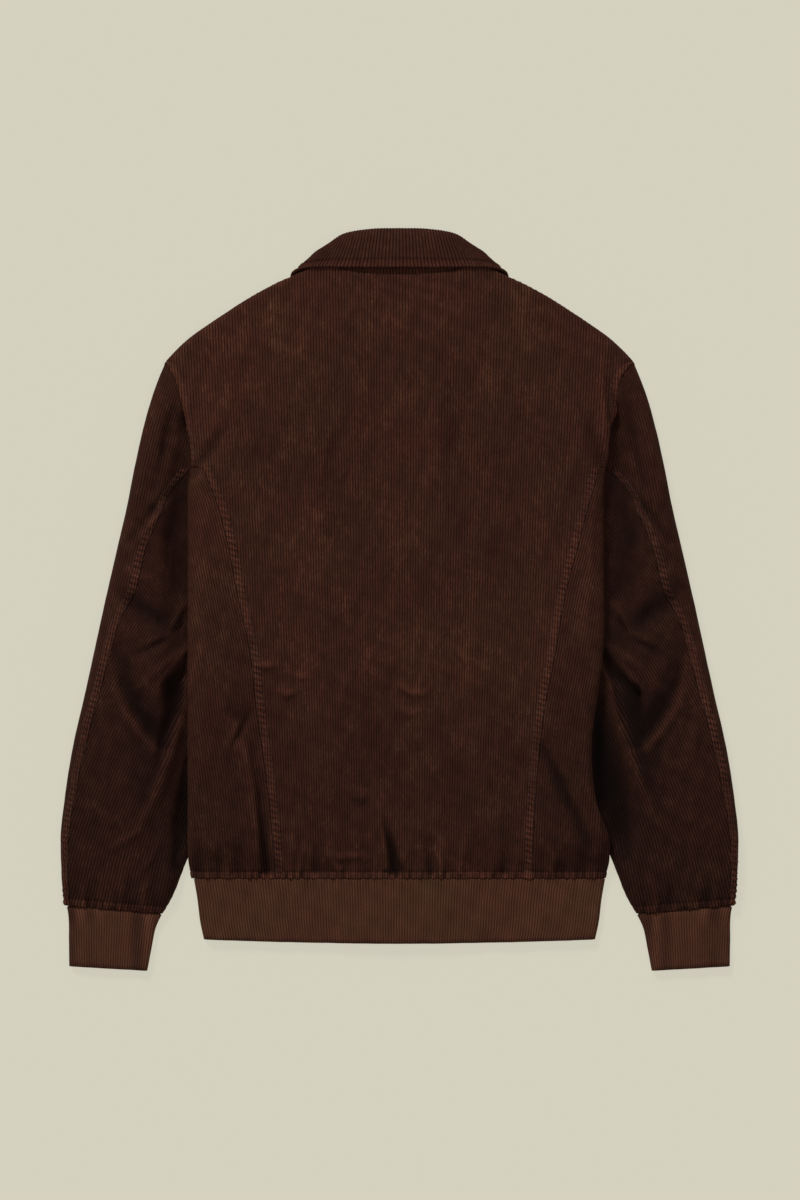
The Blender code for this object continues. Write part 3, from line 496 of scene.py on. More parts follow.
# %% [markdown]
# ## Gathers and puckers
# Where a long edge is sewn to a shorter one, as the body is to its knit hem band, the cloth
# ripples. Along topstitching the thread pulls the layers into short bars like a ladder. A sine wave
# would look like a machine's work, so three waves of unlike pitch are added and their place is
# shifted by a slow wander.

# %% A ripple that never quite repeats


def ripple(place, pitch, phase):
    """Uneven waves from -1 to 1 along a length."""
    wander = 0.9 * np.sin(place / (pitch * 5.3) + phase * 1.7) + 0.5 * np.sin(place / (pitch * 2.9) + phase)
    wave = np.sin(2 * math.pi * place / pitch + wander + phase)
    swell = 0.68 + 0.32 * np.sin(place / (pitch * 3.7) + 2.3 * phase)
    return wave * swell


print("the ripple starts at", round(float(ripple(0.0, 8.0, 1.0)), 2))

# %% Gathers above a knit band
LIP_EDGE = 7.0             # a lip of cloth is stitched down this far above the band


def hem_gather(x, y, band_y):
    """Short gathers that fade with distance from a knit band's seam."""
    above = np.clip(y - band_y, 0, None)
    far = np.exp(-above / 26.0)
    lip = 1 - ramp(above, LIP_EDGE - 0.8, LIP_EDGE + 1.0)
    groove = np.exp(-((above - LIP_EDGE) / 0.9) ** 2)
    short = 0.6 * np.exp(-above / 11.0) * ripple(x, 8.3, 2.4)
    rolled = 0.9 * lip * (1 + 0.9 * ripple(x, 6.9, 0.4))
    return rolled - 1.3 * groove + short + 0.8 * far * ripple(x, 21.0, 1.9)


print("the lip is pressed in by", round(-float(hem_gather(0.0, LIP_EDGE, 0.0)), 1), "mm at its stitches")

# %% [markdown]
# ## Weaving a panel
# Blender's grid operator makes a flat sheet of columns and rows. Here its columns are laid along
# the wales, two to a wale: one in the groove and one on the rib. Columns that would pass a seam
# are stopped at it and merged, so the wales run out at the seam as they do on cut cloth. Cutting a
# grid with booleans would also work, but it leaves slivers along every seam.

# %% Painted light and shade on the cloth, and the wear of its seams
PUCKER_WEAR_AND_SHADE = 0.40         # how much lighter the raised, worn bars of a seam are, and how much darker, as painted shade, cloth is where it sinks into stitches or under another layer
TROUGH_PAINTED_SHADE = 0.15         # painted shade: how much darker a trough is, for each millimetre
RIDGE_PAINTED_HIGHLIGHT = 0.08          # painted highlight: how much lighter a ridge is, for each millimetre
SLOPE_PAINTED_LIGHT = 0.42          # painted light and shade: how much lighter a slope facing the light is, and darker one facing away


def fold_painted_shade_and_highlight(folds):
    """Painted shade down in a trough, and a little painted highlight along a ridge."""
    return np.where(folds < 0, np.exp(TROUGH_PAINTED_SHADE * folds), 1 + RIDGE_PAINTED_HIGHLIGHT * np.minimum(folds, 5.0))


def slope_painted_light_and_shade(folds, levels):
    """Painted light and shade along a crease: darker where its slope faces away from the light, lighter
    where it faces it.
    """
    return np.exp(-SLOPE_PAINTED_LIGHT * np.clip(np.gradient(folds, levels, axis=0), -0.9, 0.9))


def body_painted_light_and_shade(x, y):
    """Painted light and shade on the back: palest over the shoulders and to the left, darkest above the hem
    and low at the sides.
    """
    tone = mix(0.80, 1.0, ramp(y, -200, -10)) * mix(1.0, 1.14, ramp(y, 110, 280))
    return tone * (1 - 0.0003 * x) * (1 - 0.12 * ramp(abs(x), 120, 160) * ramp(-y, -40, 160))


def sleeve_painted_shade(x, y):
    """Painted shade on a sleeve: darkest close to the body, below the elbow most of all, darker towards the
    cuff and on the right sleeve.
    """
    beside = mix(0.95, 0.76, ramp(-y, -60, 60))
    tone = mix(beside, 1.0, ramp(abs(x), 215, 285)) * np.where(x > 0, 0.90, 1.0)
    return tone * mix(1.0, 0.88, ramp(-y, 90, 220))


print("tone of a trough and a ridge of 5 mm:", fold_painted_shade_and_highlight(np.array([-5.0, 5.0])).round(2))

# %% Rows of a section, as a grid of places
REACH = 0.6                # a tangent is measured this far to both sides


def laid_rows(levels, row, per_wale, out):
    """Steps across, places, normals, cloth coordinates and distances from both edges."""
    cuts = [row(float(y)) for y in levels]
    low = min((cut["first"] - cut["origin"]) / cut["pitch"] for cut in cuts)
    high = max((cut["last"] - cut["origin"]) / cut["pitch"] for cut in cuts)
    steps = np.arange(math.floor(low * per_wale) - 1, math.ceil(high * per_wale) + 2)
    rows = []
    for y, cut in zip(levels, cuts):
        ring = cut["ring"]
        length = np.clip(cut["origin"] + steps / per_wale * cut["pitch"], cut["first"], cut["last"])
        here = points_along(ring, length)
        tangent = points_along(ring, length + REACH) - points_along(ring, length - REACH)
        tangent /= np.maximum(np.linalg.norm(tangent, axis=1), 1e-6)[:, None]
        level = np.full(len(steps), y)
        rows.append((np.column_stack([here[:, 0], level, here[:, 1]]),
                     out * np.column_stack([-tangent[:, 1], np.zeros(len(steps)), tangent[:, 0]]),
                     np.column_stack([(length - cut["origin"]) / cut["pitch"], level, np.ones(len(steps))]),
                     np.column_stack([length - cut["first"], cut["last"] - length])))
    return steps, *(np.array(part) for part in zip(*rows))


def flat_row(y):
    """A plain strip 27 mm wide, to try things out on."""
    ring = np.array([[0.0, 0.0], [27.0, 0.0]])
    return {"ring": ring, "first": 0.0, "last": total(ring), "origin": 0.0, "pitch": WALE}


print("a strip 27 mm wide takes", len(laid_rows([0.0], flat_row, 2, 1)[0]), "columns")

# %% Relief and tone on the grid
GROOVE = 0.36              # how deep the grooves between two wales are
RIB_PROFILE = {1: (0.0,), 2: (-GROOVE, 0.14), 4: (-GROOVE, 0.0, 0.14, 0.0)}


def lowest(x):
    """How far down a trough may go before it meets the layers below; the fronts lap at the middle."""
    return 3.4 + 4.4 * (1 - ramp(abs(x), 40, 60))


def woven(levels, row, per_wale=2, out=1, shift_y=None, lift=None, creases=(), gather=None, profile=None,
          shading=None):
    """Places and cloth coordinates of a grid of cloth. row(y) gives a ring and the cut on it."""
    steps, places, normals, cloth, edge = laid_rows(levels, row, per_wale, out)
    up = np.clip(normals[:, :, 2], 0, 1)
    down = np.clip(-normals[:, :, 2], 0, 1)
    x, y = places[:, :, 0], places[:, :, 1]
    ribs = np.array(profile or RIB_PROFILE[per_wale])[steps % per_wale]
    height = ribs[None, :] * ramp(np.minimum(edge[:, :, 0], edge[:, :, 1]), 0.0, 1.2)
    height = height * (0.35 + 0.65 * ramp(up + down, 0.2, 0.8))
    folds = up * (crease_height(x, y, creases) + slack(x, y))
    raised = np.zeros(np.shape(x))
    if gather:
        raised = raised + (up + 0.4 * down) * gather(x, y)
    if lift:
        raised = raised + lift(edge, x, y)
    wear_and_groove_shade = np.exp(PUCKER_WEAR_AND_SHADE * np.clip(raised, -1.6, 2.0))
    # The tone is painted shade and highlight of folds and slopes, the wear of raised bars, and painted
    # shade where cloth sinks; shading adds a piece's painted light and shade
    cloth[:, :, 2] = fold_painted_shade_and_highlight(folds) * slope_painted_light_and_shade(folds, levels) * wear_and_groove_shade
    if shading:
        cloth[:, :, 2] *= mix(1.0, shading(x, y), up)
    room = np.where(up > 0.2, np.maximum(places[:, :, 2] - lowest(x), 0.0), 20.0)
    folds = np.where(folds < 0, -room * np.tanh(-folds / np.maximum(room, 0.1)), folds)
    height = height + folds + raised - 0.5 * down * crease_height(x, y, HIDDEN_CREASES)
    places = places + normals * height[:, :, None]
    if shift_y:
        places[:, :, 1] = shift_y(places[:, :, 0], places[:, :, 1])
    places[:, :, 2] = np.maximum(places[:, :, 2], 0.0)
    return places, cloth


strip = woven([0.0, 1.0], flat_row)[0]
print("the strip's wales stand", round(float(np.ptp(strip[:, :, 2])), 2), "mm high")

# %% A grid laid into a piece
WELD = 0.02                # points closer than this are merged


def lay_grid(joined, places, cloth, flip, shade):
    """Lays a grid of cloth, stops its columns at the seams and joins it to a piece's other grids."""
    rows, columns = places.shape[:2]
    sheet = bmesh.new()
    bmesh.ops.create_grid(sheet, x_segments=columns - 1, y_segments=rows - 1, size=0.5)
    if flip:
        bmesh.ops.reverse_faces(sheet, faces=sheet.faces)
    mesh = bpy.data.meshes.new("sheet")
    sheet.to_mesh(mesh)
    flat = np.empty(3 * rows * columns)
    mesh.vertices.foreach_get("co", flat)
    column = np.rint((flat[0::3] + 0.5) * (columns - 1)).astype(int)
    row = np.rint((flat[1::3] + 0.5) * (rows - 1)).astype(int)
    mesh.vertices.foreach_set("co", (places[row, column] * MM).ravel())
    tags = mesh.attributes.new("cloth", "FLOAT_VECTOR", "POINT")
    # shade scales a grid's tone; on the sleeves and side panels it is painted shade
    tags.data.foreach_set("vector", (cloth[row, column] * (1, 1, shade)).ravel())
    sheet.clear()
    sheet.from_mesh(mesh)
    bmesh.ops.remove_doubles(sheet, verts=sheet.verts, dist=WELD * MM)
    sheet.to_mesh(mesh)
    sheet.free()
    joined.from_mesh(mesh)
    bpy.data.meshes.remove(mesh)


finishes = []


def cloth_piece(name, grids, wall, material_name, flip=False):
    """A piece of one or more grids, with its wall given inwards."""
    mesh_data = bmesh.new()
    mesh_data.verts.layers.float_vector.new("cloth")
    for places, cloth, shade in grids:
        lay_grid(mesh_data, places, cloth, flip, shade)
    mesh = bpy.data.meshes.new(name)
    mesh_data.to_mesh(mesh)
    mesh_data.free()
    mesh.shade_smooth()
    piece = bpy.data.objects.new(name, mesh)
    bpy.context.scene.collection.objects.link(piece)
    solid = piece.modifiers.new("Wall", "SOLIDIFY")
    solid.thickness = wall * MM
    solid.offset = -1
    solid.use_even_offset = False
    finishes.append((piece, material_name))
    count = sum(len(p.vertices) - 2 for p in mesh.polygons)
    print(name, "faces", len(mesh.polygons), "triangles with its wall about", 2 * count)
    return piece


print("ready to lay", len(CREASES), "groups of panels")

# %% [markdown]
# ## Topstitched seams
# The seams of this jacket are folded over and stitched down, so each has a band, about nine
# millimetres wide, that stands up a little and is ribbed across by its puckers. A band is woven
# from the same rows as its panel, with rows close enough for the puckers, and it sinks back into
# the panel at its far edge.

# %% The lift of a seam band
BAND = 9.0                 # width of a topstitched band
BAND_ROW = 1.9             # its rows are this close
STITCHED = (0.16, 0.8)     # where its two rows of stitches run, as shares of its width


def band_lift(which, phase, height=0.7, pucker=1.15):
    """Lift of a band that starts at the first (0) or the last (1) edge of its panel."""
    def lift(edge, x, y):
        across = edge[:, :, which] / BAND
        body = ramp(across, -0.02, 0.1) * (1 - ramp(across, 0.86, 1.0))
        grooves = (np.exp(-((across - STITCHED[0]) / 0.07) ** 2)
                   + np.exp(-((across - STITCHED[1]) / 0.08) ** 2))
        bars = ripple(y + 0.35 * x, 5.8, phase)
        return height * body + pucker * bars * body - 0.4 * grooves - 0.35 * ramp(across, 0.9, 1.0)
    return lift


def band_row(row, which):
    """The part of a row that a seam band covers."""
    def cut(y):
        whole = row(y)
        if which == 0:
            return {**whole, "last": min(whole["first"] + BAND, whole["last"])}
        return {**whole, "first": max(whole["last"] - BAND, whole["first"])}
    return cut


def fine(start, end):
    return np.linspace(start, end, max(int(abs(end - start) / BAND_ROW), 2))


print("a band over the whole princess seam has", len(fine(HEM_Y, UNDERARM_Y)), "rows")

# %% [markdown]
# ## The back
# The centre panel runs from the hem to the neck and takes in the yoke of the shoulders, where it
# wraps over to the front. Its wales are upright at the centre and close up a little towards the
# hem.

# %% Rings of the centre panel
SHOULDER_WRAP = 18.0      # how far the back wraps over to the front along the shoulder
NECK_WRAP = 7.0           # and at the neck
NECK_HALF = 80.5          # half the neck's width
NECK_BOW = 2.6            # how square the neck's scoop is
BACK_SCOOP = 15.5         # depth of the neck's scoop at the back


def fan(y):
    """The wales lie wider apart at the shoulders and closer at the hem."""
    return mix(0.9, 1.08, np.clip((y - HEM_Y) / 600.0, 0, 1))


def shoulder_wrap(y):
    return mix(3.0, SHOULDER_WRAP, ramp(y, 240, 266)) + (NECK_WRAP - SHOULDER_WRAP) * ramp(y, 285, NECK_Y)


def back_centre_row(y):
    section = back_section(y)
    pitch = WALE * float(fan(y))
    if y <= UNDERARM_Y:
        return {"ring": section, "first": length_at(section, at(PRINCESS, "left", y) + SEAM / 2),
                "last": length_at(section, at(PRINCESS, "right", y) - SEAM / 2),
                "origin": length_at(section, 0.0), "pitch": pitch}
    if y <= SHOULDER_TIP_Y:
        return {"ring": section, "first": 0.0, "last": total(section),
                "origin": length_at(section, 0.0), "pitch": pitch}
    half = at(SHOULDER, "half", y)
    rim = (RIM, rim_height(y))
    left, right = [cut_line(layer(x, x * 0.5, lambda x: body_underside(x, y), rim), 0, shoulder_wrap(y))
                   for x in (-half, half)]
    ring = np.concatenate([left[:0:-1], section, right[1:]])
    return {"ring": ring, "first": 0.0, "last": total(ring),
            "origin": total(left) + length_at(section, 0.0), "pitch": pitch}


def back_neck(x, y):
    inside = 1 - np.minimum(abs(x) / NECK_HALF, 1.0) ** NECK_BOW
    return y - BACK_SCOOP * inside * ramp(y, 290, NECK_Y)


def body_gather(x, y):
    below_neck = np.clip(NECK_Y - y, 0, None)
    pull = 0.5 * ripple(x, 6.3, 1.2) * np.exp(-below_neck / 5.0) - 0.7 * np.exp(-below_neck / 1.5)
    return hem_gather(x, y, HEM_Y) + pull * ramp(y, 300, 320)


print("the back's ring at the shoulders is", round(back_centre_row(300.0)["last"]), "mm long")

# %% Centre panel of the back
HEM_LEVELS = np.concatenate([np.arange(HEM_Y + SEAM, -265.5, 1.4), np.arange(-265.5, -236, 3.0)])
BACK_LEVELS = np.concatenate([HEM_LEVELS, np.arange(-236, -120, 4.6), np.arange(-120, -36, 2.4),
                              np.arange(-36, 131.0, 6.0), [131.9, 132.1], np.arange(137, 234, 6.5), [237.9],
                              np.arange(240, 339, 2.8), [NECK_Y]])
options = {"shift_y": back_neck, "creases": CREASES["body"], "gather": body_gather, "shading": body_painted_light_and_shade}
grids = [(*woven(BACK_LEVELS, back_centre_row, **options), 1.0)]
for which in (0, 1):
    grids.append((*woven(fine(HEM_Y + SEAM, 131.7), band_row(back_centre_row, which), 4,
                         lift=band_lift(which, 0.7 + which), **options), 1.06))
    grids.append((*woven(fine(132.2, 237.9), band_row(back_centre_row, which), 4,
                         lift=band_lift(which, 2.1 + which, height=0.8, pucker=0.5), **options), 1.03))
back_centre = cloth_piece("back_centre_panel", grids, CLOTH, "corduroy")

# %% Side panels of the back
SIDE_SEAM = 158.0         # the side panel turns under and meets the front here


def back_side_row(side):
    def row(y):
        section = back_section(y)[::-side]
        seam = at(PRINCESS, "left" if side < 0 else "right", y) + side * SEAM / 2
        edge = body_edge(y, side)
        under = layer(edge, side * SIDE_SEAM, lambda x: body_underside(x, y), (RIM, side_rim(y, side)))
        top = cut_line(section, 0, length_at(section, seam))
        ring = np.concatenate([under[:0:-1], top])
        return {"ring": ring, "first": 0.0, "last": total(ring), "origin": total(ring),
                "pitch": WALE * 0.97}
    return row


SIDE_LEVELS = np.concatenate([HEM_LEVELS, np.arange(-236, 130.0, 4.0), [131.8]])
for side, word in ((-1, "left"), (1, "right")):
    # 0.95 and 0.88 are painted shade: the side panels are darker than the centre, the right one most
    grids = [(*woven(SIDE_LEVELS, back_side_row(side), out=-side, creases=CREASES["body"],
                     gather=body_gather, shading=body_painted_light_and_shade), 0.95 if side < 0 else 0.88)]
    cloth_piece(f"back_side_panel_{word}", grids, CLOTH, "corduroy", flip=side > 0)

# %% [markdown]
# ## The fronts
# They lie underneath, flat on the surface, and lap at the middle over the buttons. They are hidden,
# so they keep plain wales that are carried by the material instead of by geometry.

# %% Both fronts
FRONT_SCOOP = 76.0        # depth of the neck's scoop at the front
FRONT_LAP = 15.0          # each front reaches this far past the middle


def front_neck(x, y):
    seam = NECK_HALF - NECK_WRAP
    inside = 1 - np.minimum(abs(x) / seam, 1.0) ** NECK_BOW
    return back_neck(seam, y) - FRONT_SCOOP * inside * ramp(y, 130, NECK_Y)


def front_row(side):
    def row(y):
        inner = -side * FRONT_LAP
        if y <= SHOULDER_TIP_Y:
            outer = side * (SIDE_SEAM - SEAM if y <= UNDERARM_Y else at(ARMHOLE, "front", y))

            def height(x):
                z = front_underside(x, y, side)
                return z if y <= UNDERARM_Y else outline_round(x, y, z)
            ring = layer(outer, inner, height)
            start = 0.0
        else:
            outer = side * at(SHOULDER, "half", y)
            ring = layer(outer, inner, lambda x: front_underside(x, y, side), (RIM, rim_height(y)))
            start = shoulder_wrap(y) + 2 * SEAM
        return {"ring": ring, "first": start, "last": total(ring), "origin": total(ring), "pitch": WALE}
    return row


for side, word in ((-1, "left"), (1, "right")):
    places, cloth = woven(BACK_LEVELS[::2], front_row(side), per_wale=1, out=side, shift_y=front_neck)
    cloth_piece(f"front_panel_{word}", [(places, cloth, 0.95)], CLOTH, "corduroy_hidden",
                              flip=side < 0)

# %% [markdown]
# ## The sleeves
# A two-piece sleeve has an upper piece, which goes over the outside of the arm, and an under piece,
# which meets it at a seam over the elbow. The under piece is cut so that its wales lie at a slant to
# the seam, and the sleeve is tucked below the body all along its inner side.

# %% Rings of the sleeve
ARMHOLE_TUCK = 2.6         # the sleeve runs this far in under the edge of the back
UNDERARM_RISE = 4.5        # how far the underside rises at the underarm
TUCK_RIM = (8.0, 4.0)      # the rim that lies below the body


def sleeve_rings(y, side):
    """The upper and the lower layer of a sleeve, both ways round from the body."""
    outer = side * max(at(SLEEVE, "outer", y), abs(armhole_edge(max(y, UNDERARM_Y), side)) + 1.2)
    crown = at(SLEEVE, "crown", y)
    rim = (float(mix(SLEEVE_RIM, 4.5, ramp(-y, 262, 300))), min(SLEEVE_RIM_HEIGHT, crown * 0.5))
    if y <= UNDERARM_Y:
        inner = side * at(SLEEVE, "inner", y)
        top = layer(inner, outer, lambda x: sleeve_top(x, y, side), TUCK_RIM, rim)
        return top, layer(outer, inner, lambda x: 0.0 * x, rim, TUCK_RIM)
    tuck = float(mix(5.0, ARMHOLE_TUCK, ramp(y, 168, 190)))
    top = layer(armhole_edge(y, side) - side * tuck, outer, lambda x: sleeve_top(x, y, side), (0, 0), rim)
    rise = ramp(y, UNDERARM_Y, 137)
    seam_under = side * (at(ARMHOLE, "front", y) + 2 * SEAM)
    bottom = layer(outer, seam_under, lambda x: rise * np.minimum(body_underside(x, y), UNDERARM_RISE), rim)
    return top, bottom


print("the left sleeve is", round(sum(total(part) for part in sleeve_rings(0.0, -1))), "mm round at y = 0")

# %% The cut of the upper and the under sleeve
SLEEVE_END = 333.5         # outer end of the cuff's seam
CUFF_WIDTH = 96.0
CUFF_DROP = 8.2            # the inner end of that seam lies this much lower
SLANT = table("y shift", (-306, 204.0), (-240, 186.0), (-150, 150.0), (-60, 103.0), (40, 42.0),
              (132, -18.0))


def cuff_tilt(x, y):
    """Lowers the inner side of the sleeve to the slant of the cuff's seam."""
    return y - CUFF_DROP * (SLEEVE_END - abs(x)) / CUFF_WIDTH * ramp(-y, 215, 306)


def sleeve_top_row(side):
    def row(y):
        top, bottom = sleeve_rings(y, side)
        ring = np.concatenate([top, bottom[1:]])
        cut = {"ring": ring, "first": 0.0, "last": total(ring), "origin": total(top) - 6.0, "pitch": WALE}
        if y <= UNDERARM_Y:
            cut["first"] = length_at(top, side * (at(SLEEVE_SEAMS, "elbow", y) + SEAM / 2))
            cut["last"] = total(top) + length_at(bottom, side * (at(SLEEVE_SEAMS, "front", y) + SEAM / 2))
        return cut
    return row


def sleeve_under_row(side):
    def row(y):
        top, bottom = sleeve_rings(y, side)
        start = total(top) + length_at(bottom, side * (at(SLEEVE_SEAMS, "front", y) - SEAM / 2))
        elbow = length_at(top, side * (at(SLEEVE_SEAMS, "elbow", y) - SEAM / 2))
        ring = np.concatenate([top, bottom[1:], top[1:]])
        end = total(top) + total(bottom) + elbow
        slant = at(SLANT, "shift", y) - (at(SLEEVE_SEAMS, "elbow", y) - 209.0)
        return {"ring": ring, "first": start, "last": end, "origin": end + slant, "pitch": WALE * 1.15}
    return row


for make, word in ((sleeve_top_row, "upper"), (sleeve_under_row, "under")):
    cut = make(-1)(0.0)
    print(word, "sleeve is", round(cut["last"] - cut["first"]), "mm wide at y = 0")

# %% Upper and under sleeves
SLEEVE_LEVELS = np.concatenate([np.arange(SLEEVE_Y, -292, 1.3), np.arange(-292, 130.0, 3.0), [131.7]])
CAP_LEVELS = np.concatenate([[132.1], np.arange(136, 230, 5.0), [231.0, 234.5, 237.8]])


def sleeve_gather(x, y):
    return 0.9 * hem_gather(x, y, SLEEVE_Y)


def under_armhole(edge, x, y):
    """Sinks the sleeve's edge below the back along the armhole."""
    return -2.0 * ramp(y, 170, 190) * (1 - ramp(edge[:, :, 0], 1.6, 3.4))


for side, word in ((-1, "left"), (1, "right")):
    options = {"out": side, "shift_y": cuff_tilt, "creases": CREASES[word], "gather": sleeve_gather,
               "shading": sleeve_painted_shade}
    row = sleeve_top_row(side)
    levels = np.concatenate([SLEEVE_LEVELS, CAP_LEVELS])
    # 0.84 and 0.68 are painted shade: the upper sleeve is darker than the back and the under sleeve, beside
    #                                  the body, darker still; its seam band is darkened less
    grids = [(*woven(levels, row, lift=under_armhole, **options), 0.84),
             (*woven(fine(SLEEVE_Y, 131.7), band_row(row, 0), 4, lift=band_lift(0, 0.3 + side),
                     **options), 0.92)]
    cloth_piece(f"sleeve_upper_{word}", grids, CLOTH, "corduroy", flip=side < 0)
    row = sleeve_under_row(side)
    grids = [(*woven(SLEEVE_LEVELS, row, **options), 0.68)]
    cloth_piece(f"sleeve_under_{word}_panel", grids, CLOTH, "corduroy", flip=side < 0)

# %% [markdown]
# ## Rib knit
# The cuffs and the hem band are knitted double, in ribs that close up towards the free edge. The
# same weaving function makes them, with four columns to a rib so that each rib is round.

# %% The cuff's ring and its slant
KNIT_PROFILE = (-0.42, 0.16, 0.42, 0.16)
CUFF_TOP, CUFF_BOTTOM = 7.6, 0.2      # heights of its two layers
CUFF_RIM = (4.4, 3.9)
CUFF_JOIN = 25             # the tube is closed this far in on its underside
CUFF_SEAM_Y = (-314.7, -306.5)        # inner and outer end of the seam with the sleeve
CUFF_EDGE_Y = (-371.5, -367.0)        # and of the free edge


def cuff_row(side):
    """Rings of a cuff, where -1 is its free edge and 0 its seam."""
    def row(down):
        outer, inner = side * at(CUFF, "outer", -down), side * at(CUFF, "inner", -down)
        top = layer(inner, outer, lambda x: CUFF_TOP, CUFF_RIM, CUFF_RIM)
        bottom = layer(outer, inner, lambda x: CUFF_BOTTOM, CUFF_RIM, CUFF_RIM)
        ring = np.concatenate([top, bottom[1:], top[1:], bottom[1:]])
        around = total(ring) / 2
        ribs = 2 * round(CUFF_WIDTH / KNIT_RIB) + 2
        start = around - CUFF_JOIN
        return {"ring": ring, "first": start, "last": start + around - SEAM, "origin": start,
                "pitch": around / ribs}
    return row


def cuff_place(x, y):
    """Moves a cuff's rows from 0 to -1 to their places between its seam and its edge."""
    outer, inner = (np.array([at(CUFF, edge, -d) for d in y[:, 0]])[:, None] for edge in ("outer", "inner"))
    across = (abs(x) - inner) / (outer - inner)
    return mix(mix(*CUFF_SEAM_Y, across) - SEAM, mix(*CUFF_EDGE_Y, across), -y)


print("a cuff is", round(cuff_row(1)(0.0)["pitch"], 2), "mm from rib to rib at its seam")

# %% The hem band's ring
HEM_RIM = (5.0, 4.1)
HEM_DROP = 4.0             # the free edge hangs this much lower at the middle


def hem_row(y):
    half = at(HEM, "half", y)
    left = layer(FRONT_LAP, -half, lambda x: FRONT_LAYERS[-1] * in_lap(x, -1), (0, 0), HEM_RIM)
    top = layer(-half, half, rib_top, HEM_RIM, HEM_RIM)
    right = layer(half, -FRONT_LAP, lambda x: (FRONT_LAYERS[1] + 1.0) * in_lap(x, 1), HEM_RIM)
    ring = np.concatenate([left, top[1:], right[1:]])
    return {"ring": ring, "first": 0.0, "last": total(ring), "origin": total(left) + total(top) / 2,
            "pitch": KNIT_RIB * half / at(HEM, "half", HEM_Y)}


def hem_place(x, y):
    bow = np.maximum(1 - (x / at(HEM, "half", HEM_EDGE_Y)) ** 2, 0.0)
    return y - HEM_DROP * ramp(-y, -HEM_Y, -HEM_EDGE_Y) * bow


def knit_gather(x, y):
    return 0.35 * np.exp(-np.clip(HEM_Y - y, 0, None) / 7.0) * ripple(x, 9.0, 1.1)


print("the hem band is", round(hem_row(HEM_Y)["last"]), "mm long")

# %% Cuffs and hem band


def under_hem(edge, x, y):
    """Sinks the knit below the corduroy just above their seam."""
    return -2.0 * ramp(y, HEM_Y - 0.5, HEM_Y + 0.6)


def under_cuff_seam(edge, x, y):
    return -1.8 * ramp(y, -0.012, 0.006)


for side, word in ((-1, "left"), (1, "right")):
    levels = np.concatenate([np.linspace(-1, -0.02, 12), [0.01, 0.045]])
    places, cloth = woven(levels, cuff_row(side), per_wale=4, out=side, shift_y=cuff_place,
                          lift=under_cuff_seam, profile=KNIT_PROFILE)
    cloth_piece(f"cuff_knit_{word}", [(places, cloth * (1, 60, 1), 0.94)], RIB, "rib_knit",
                             flip=side < 0)
levels = np.concatenate([np.linspace(HEM_EDGE_Y, HEM_Y - 2, 13), HEM_Y + np.array([-0.6, 0.5, 3.0])])
places, cloth = woven(levels, hem_row, per_wale=4, shift_y=hem_place, gather=knit_gather, lift=under_hem,
                      profile=KNIT_PROFILE)
cloth_piece("hem_band_knit", [(places, cloth, 1.0)], RIB, "rib_knit")

# %% [markdown]
# ## The collar
# The collar is one strip that stands up from the neck, rolls over and falls to its edge. Stations
# from the centre back to each point say where the neck seam, the roll and the edge are, and each
# wale follows one station.

# %% Stations of the collar
STATIONS = table(
    "y neck_x neck_z tuck fold_x fold_y fold_z edge_x edge_y edge_z facing",
    (0.00, 0.0, 12.2, 1.5, 0.0, 371.8, 12.8, 0.0, 333.0, 17.0, 0),
    (0.16, 33.0, 12.2, 1.5, 31.0, 370.9, 12.8, 38.0, 333.0, 16.6, 0),
    (0.30, 60.0, 12.2, 1.5, 56.8, 365.6, 13.0, 73.0, 333.4, 16.4, 5),
    (0.40, 71.5, 12.1, 1.5, 68.5, 357.0, 13.4, 92.0, 333.2, 15.6, 20),
    (0.46, 74.8, 11.3, 1.5, 74.0, 352.6, 12.4, 101.5, 331.4, 12.4, 52),
    (0.50, 77.4, 8.5, 1.5, 77.0, 350.6, 8.6, 105.6, 329.4, 8.4, 90),
    (0.54, 74.8, 5.9, 1.5, 75.0, 350.2, 5.6, 108.4, 326.4, 3.2, 126),
    (0.57, 73.2, 5.4, 1.5, 73.0, 348.0, 4.6, 108.6, 319.5, 0.2, 148),
    (0.60, 71.5, 5.3, 1.5, 70.6, 345.6, 4.2, 109.5, 311.0, 0.2, 162),
    (0.70, 64.0, 5.2, 1.5, 62.0, 329.0, 4.2, 102.0, 290.0, 0.2, 178),
    (0.85, 40.0, 4.9, 0.5, 37.5, 307.0, 4.2, 82.0, 260.0, 0.2, 180),
    (1.00, 5.0, 4.9, -0.8, 7.0, 291.0, 4.2, 54.0, 229.0, 0.2, 180))
print(len(STATIONS["y"]), "stations on each half")

# %% One wale, over the collar's roll
FOLD_HEIGHT = 4.0          # half the height of the roll
FOLD_REACH = 2.6           # how far the roll bulges past its line
FOLD_BACK = 5.0            # where the roll starts on the inside
FOLD_FRONT = 11.0          # and ends on the leaf


def unit(vector):
    return vector / np.linalg.norm(vector)


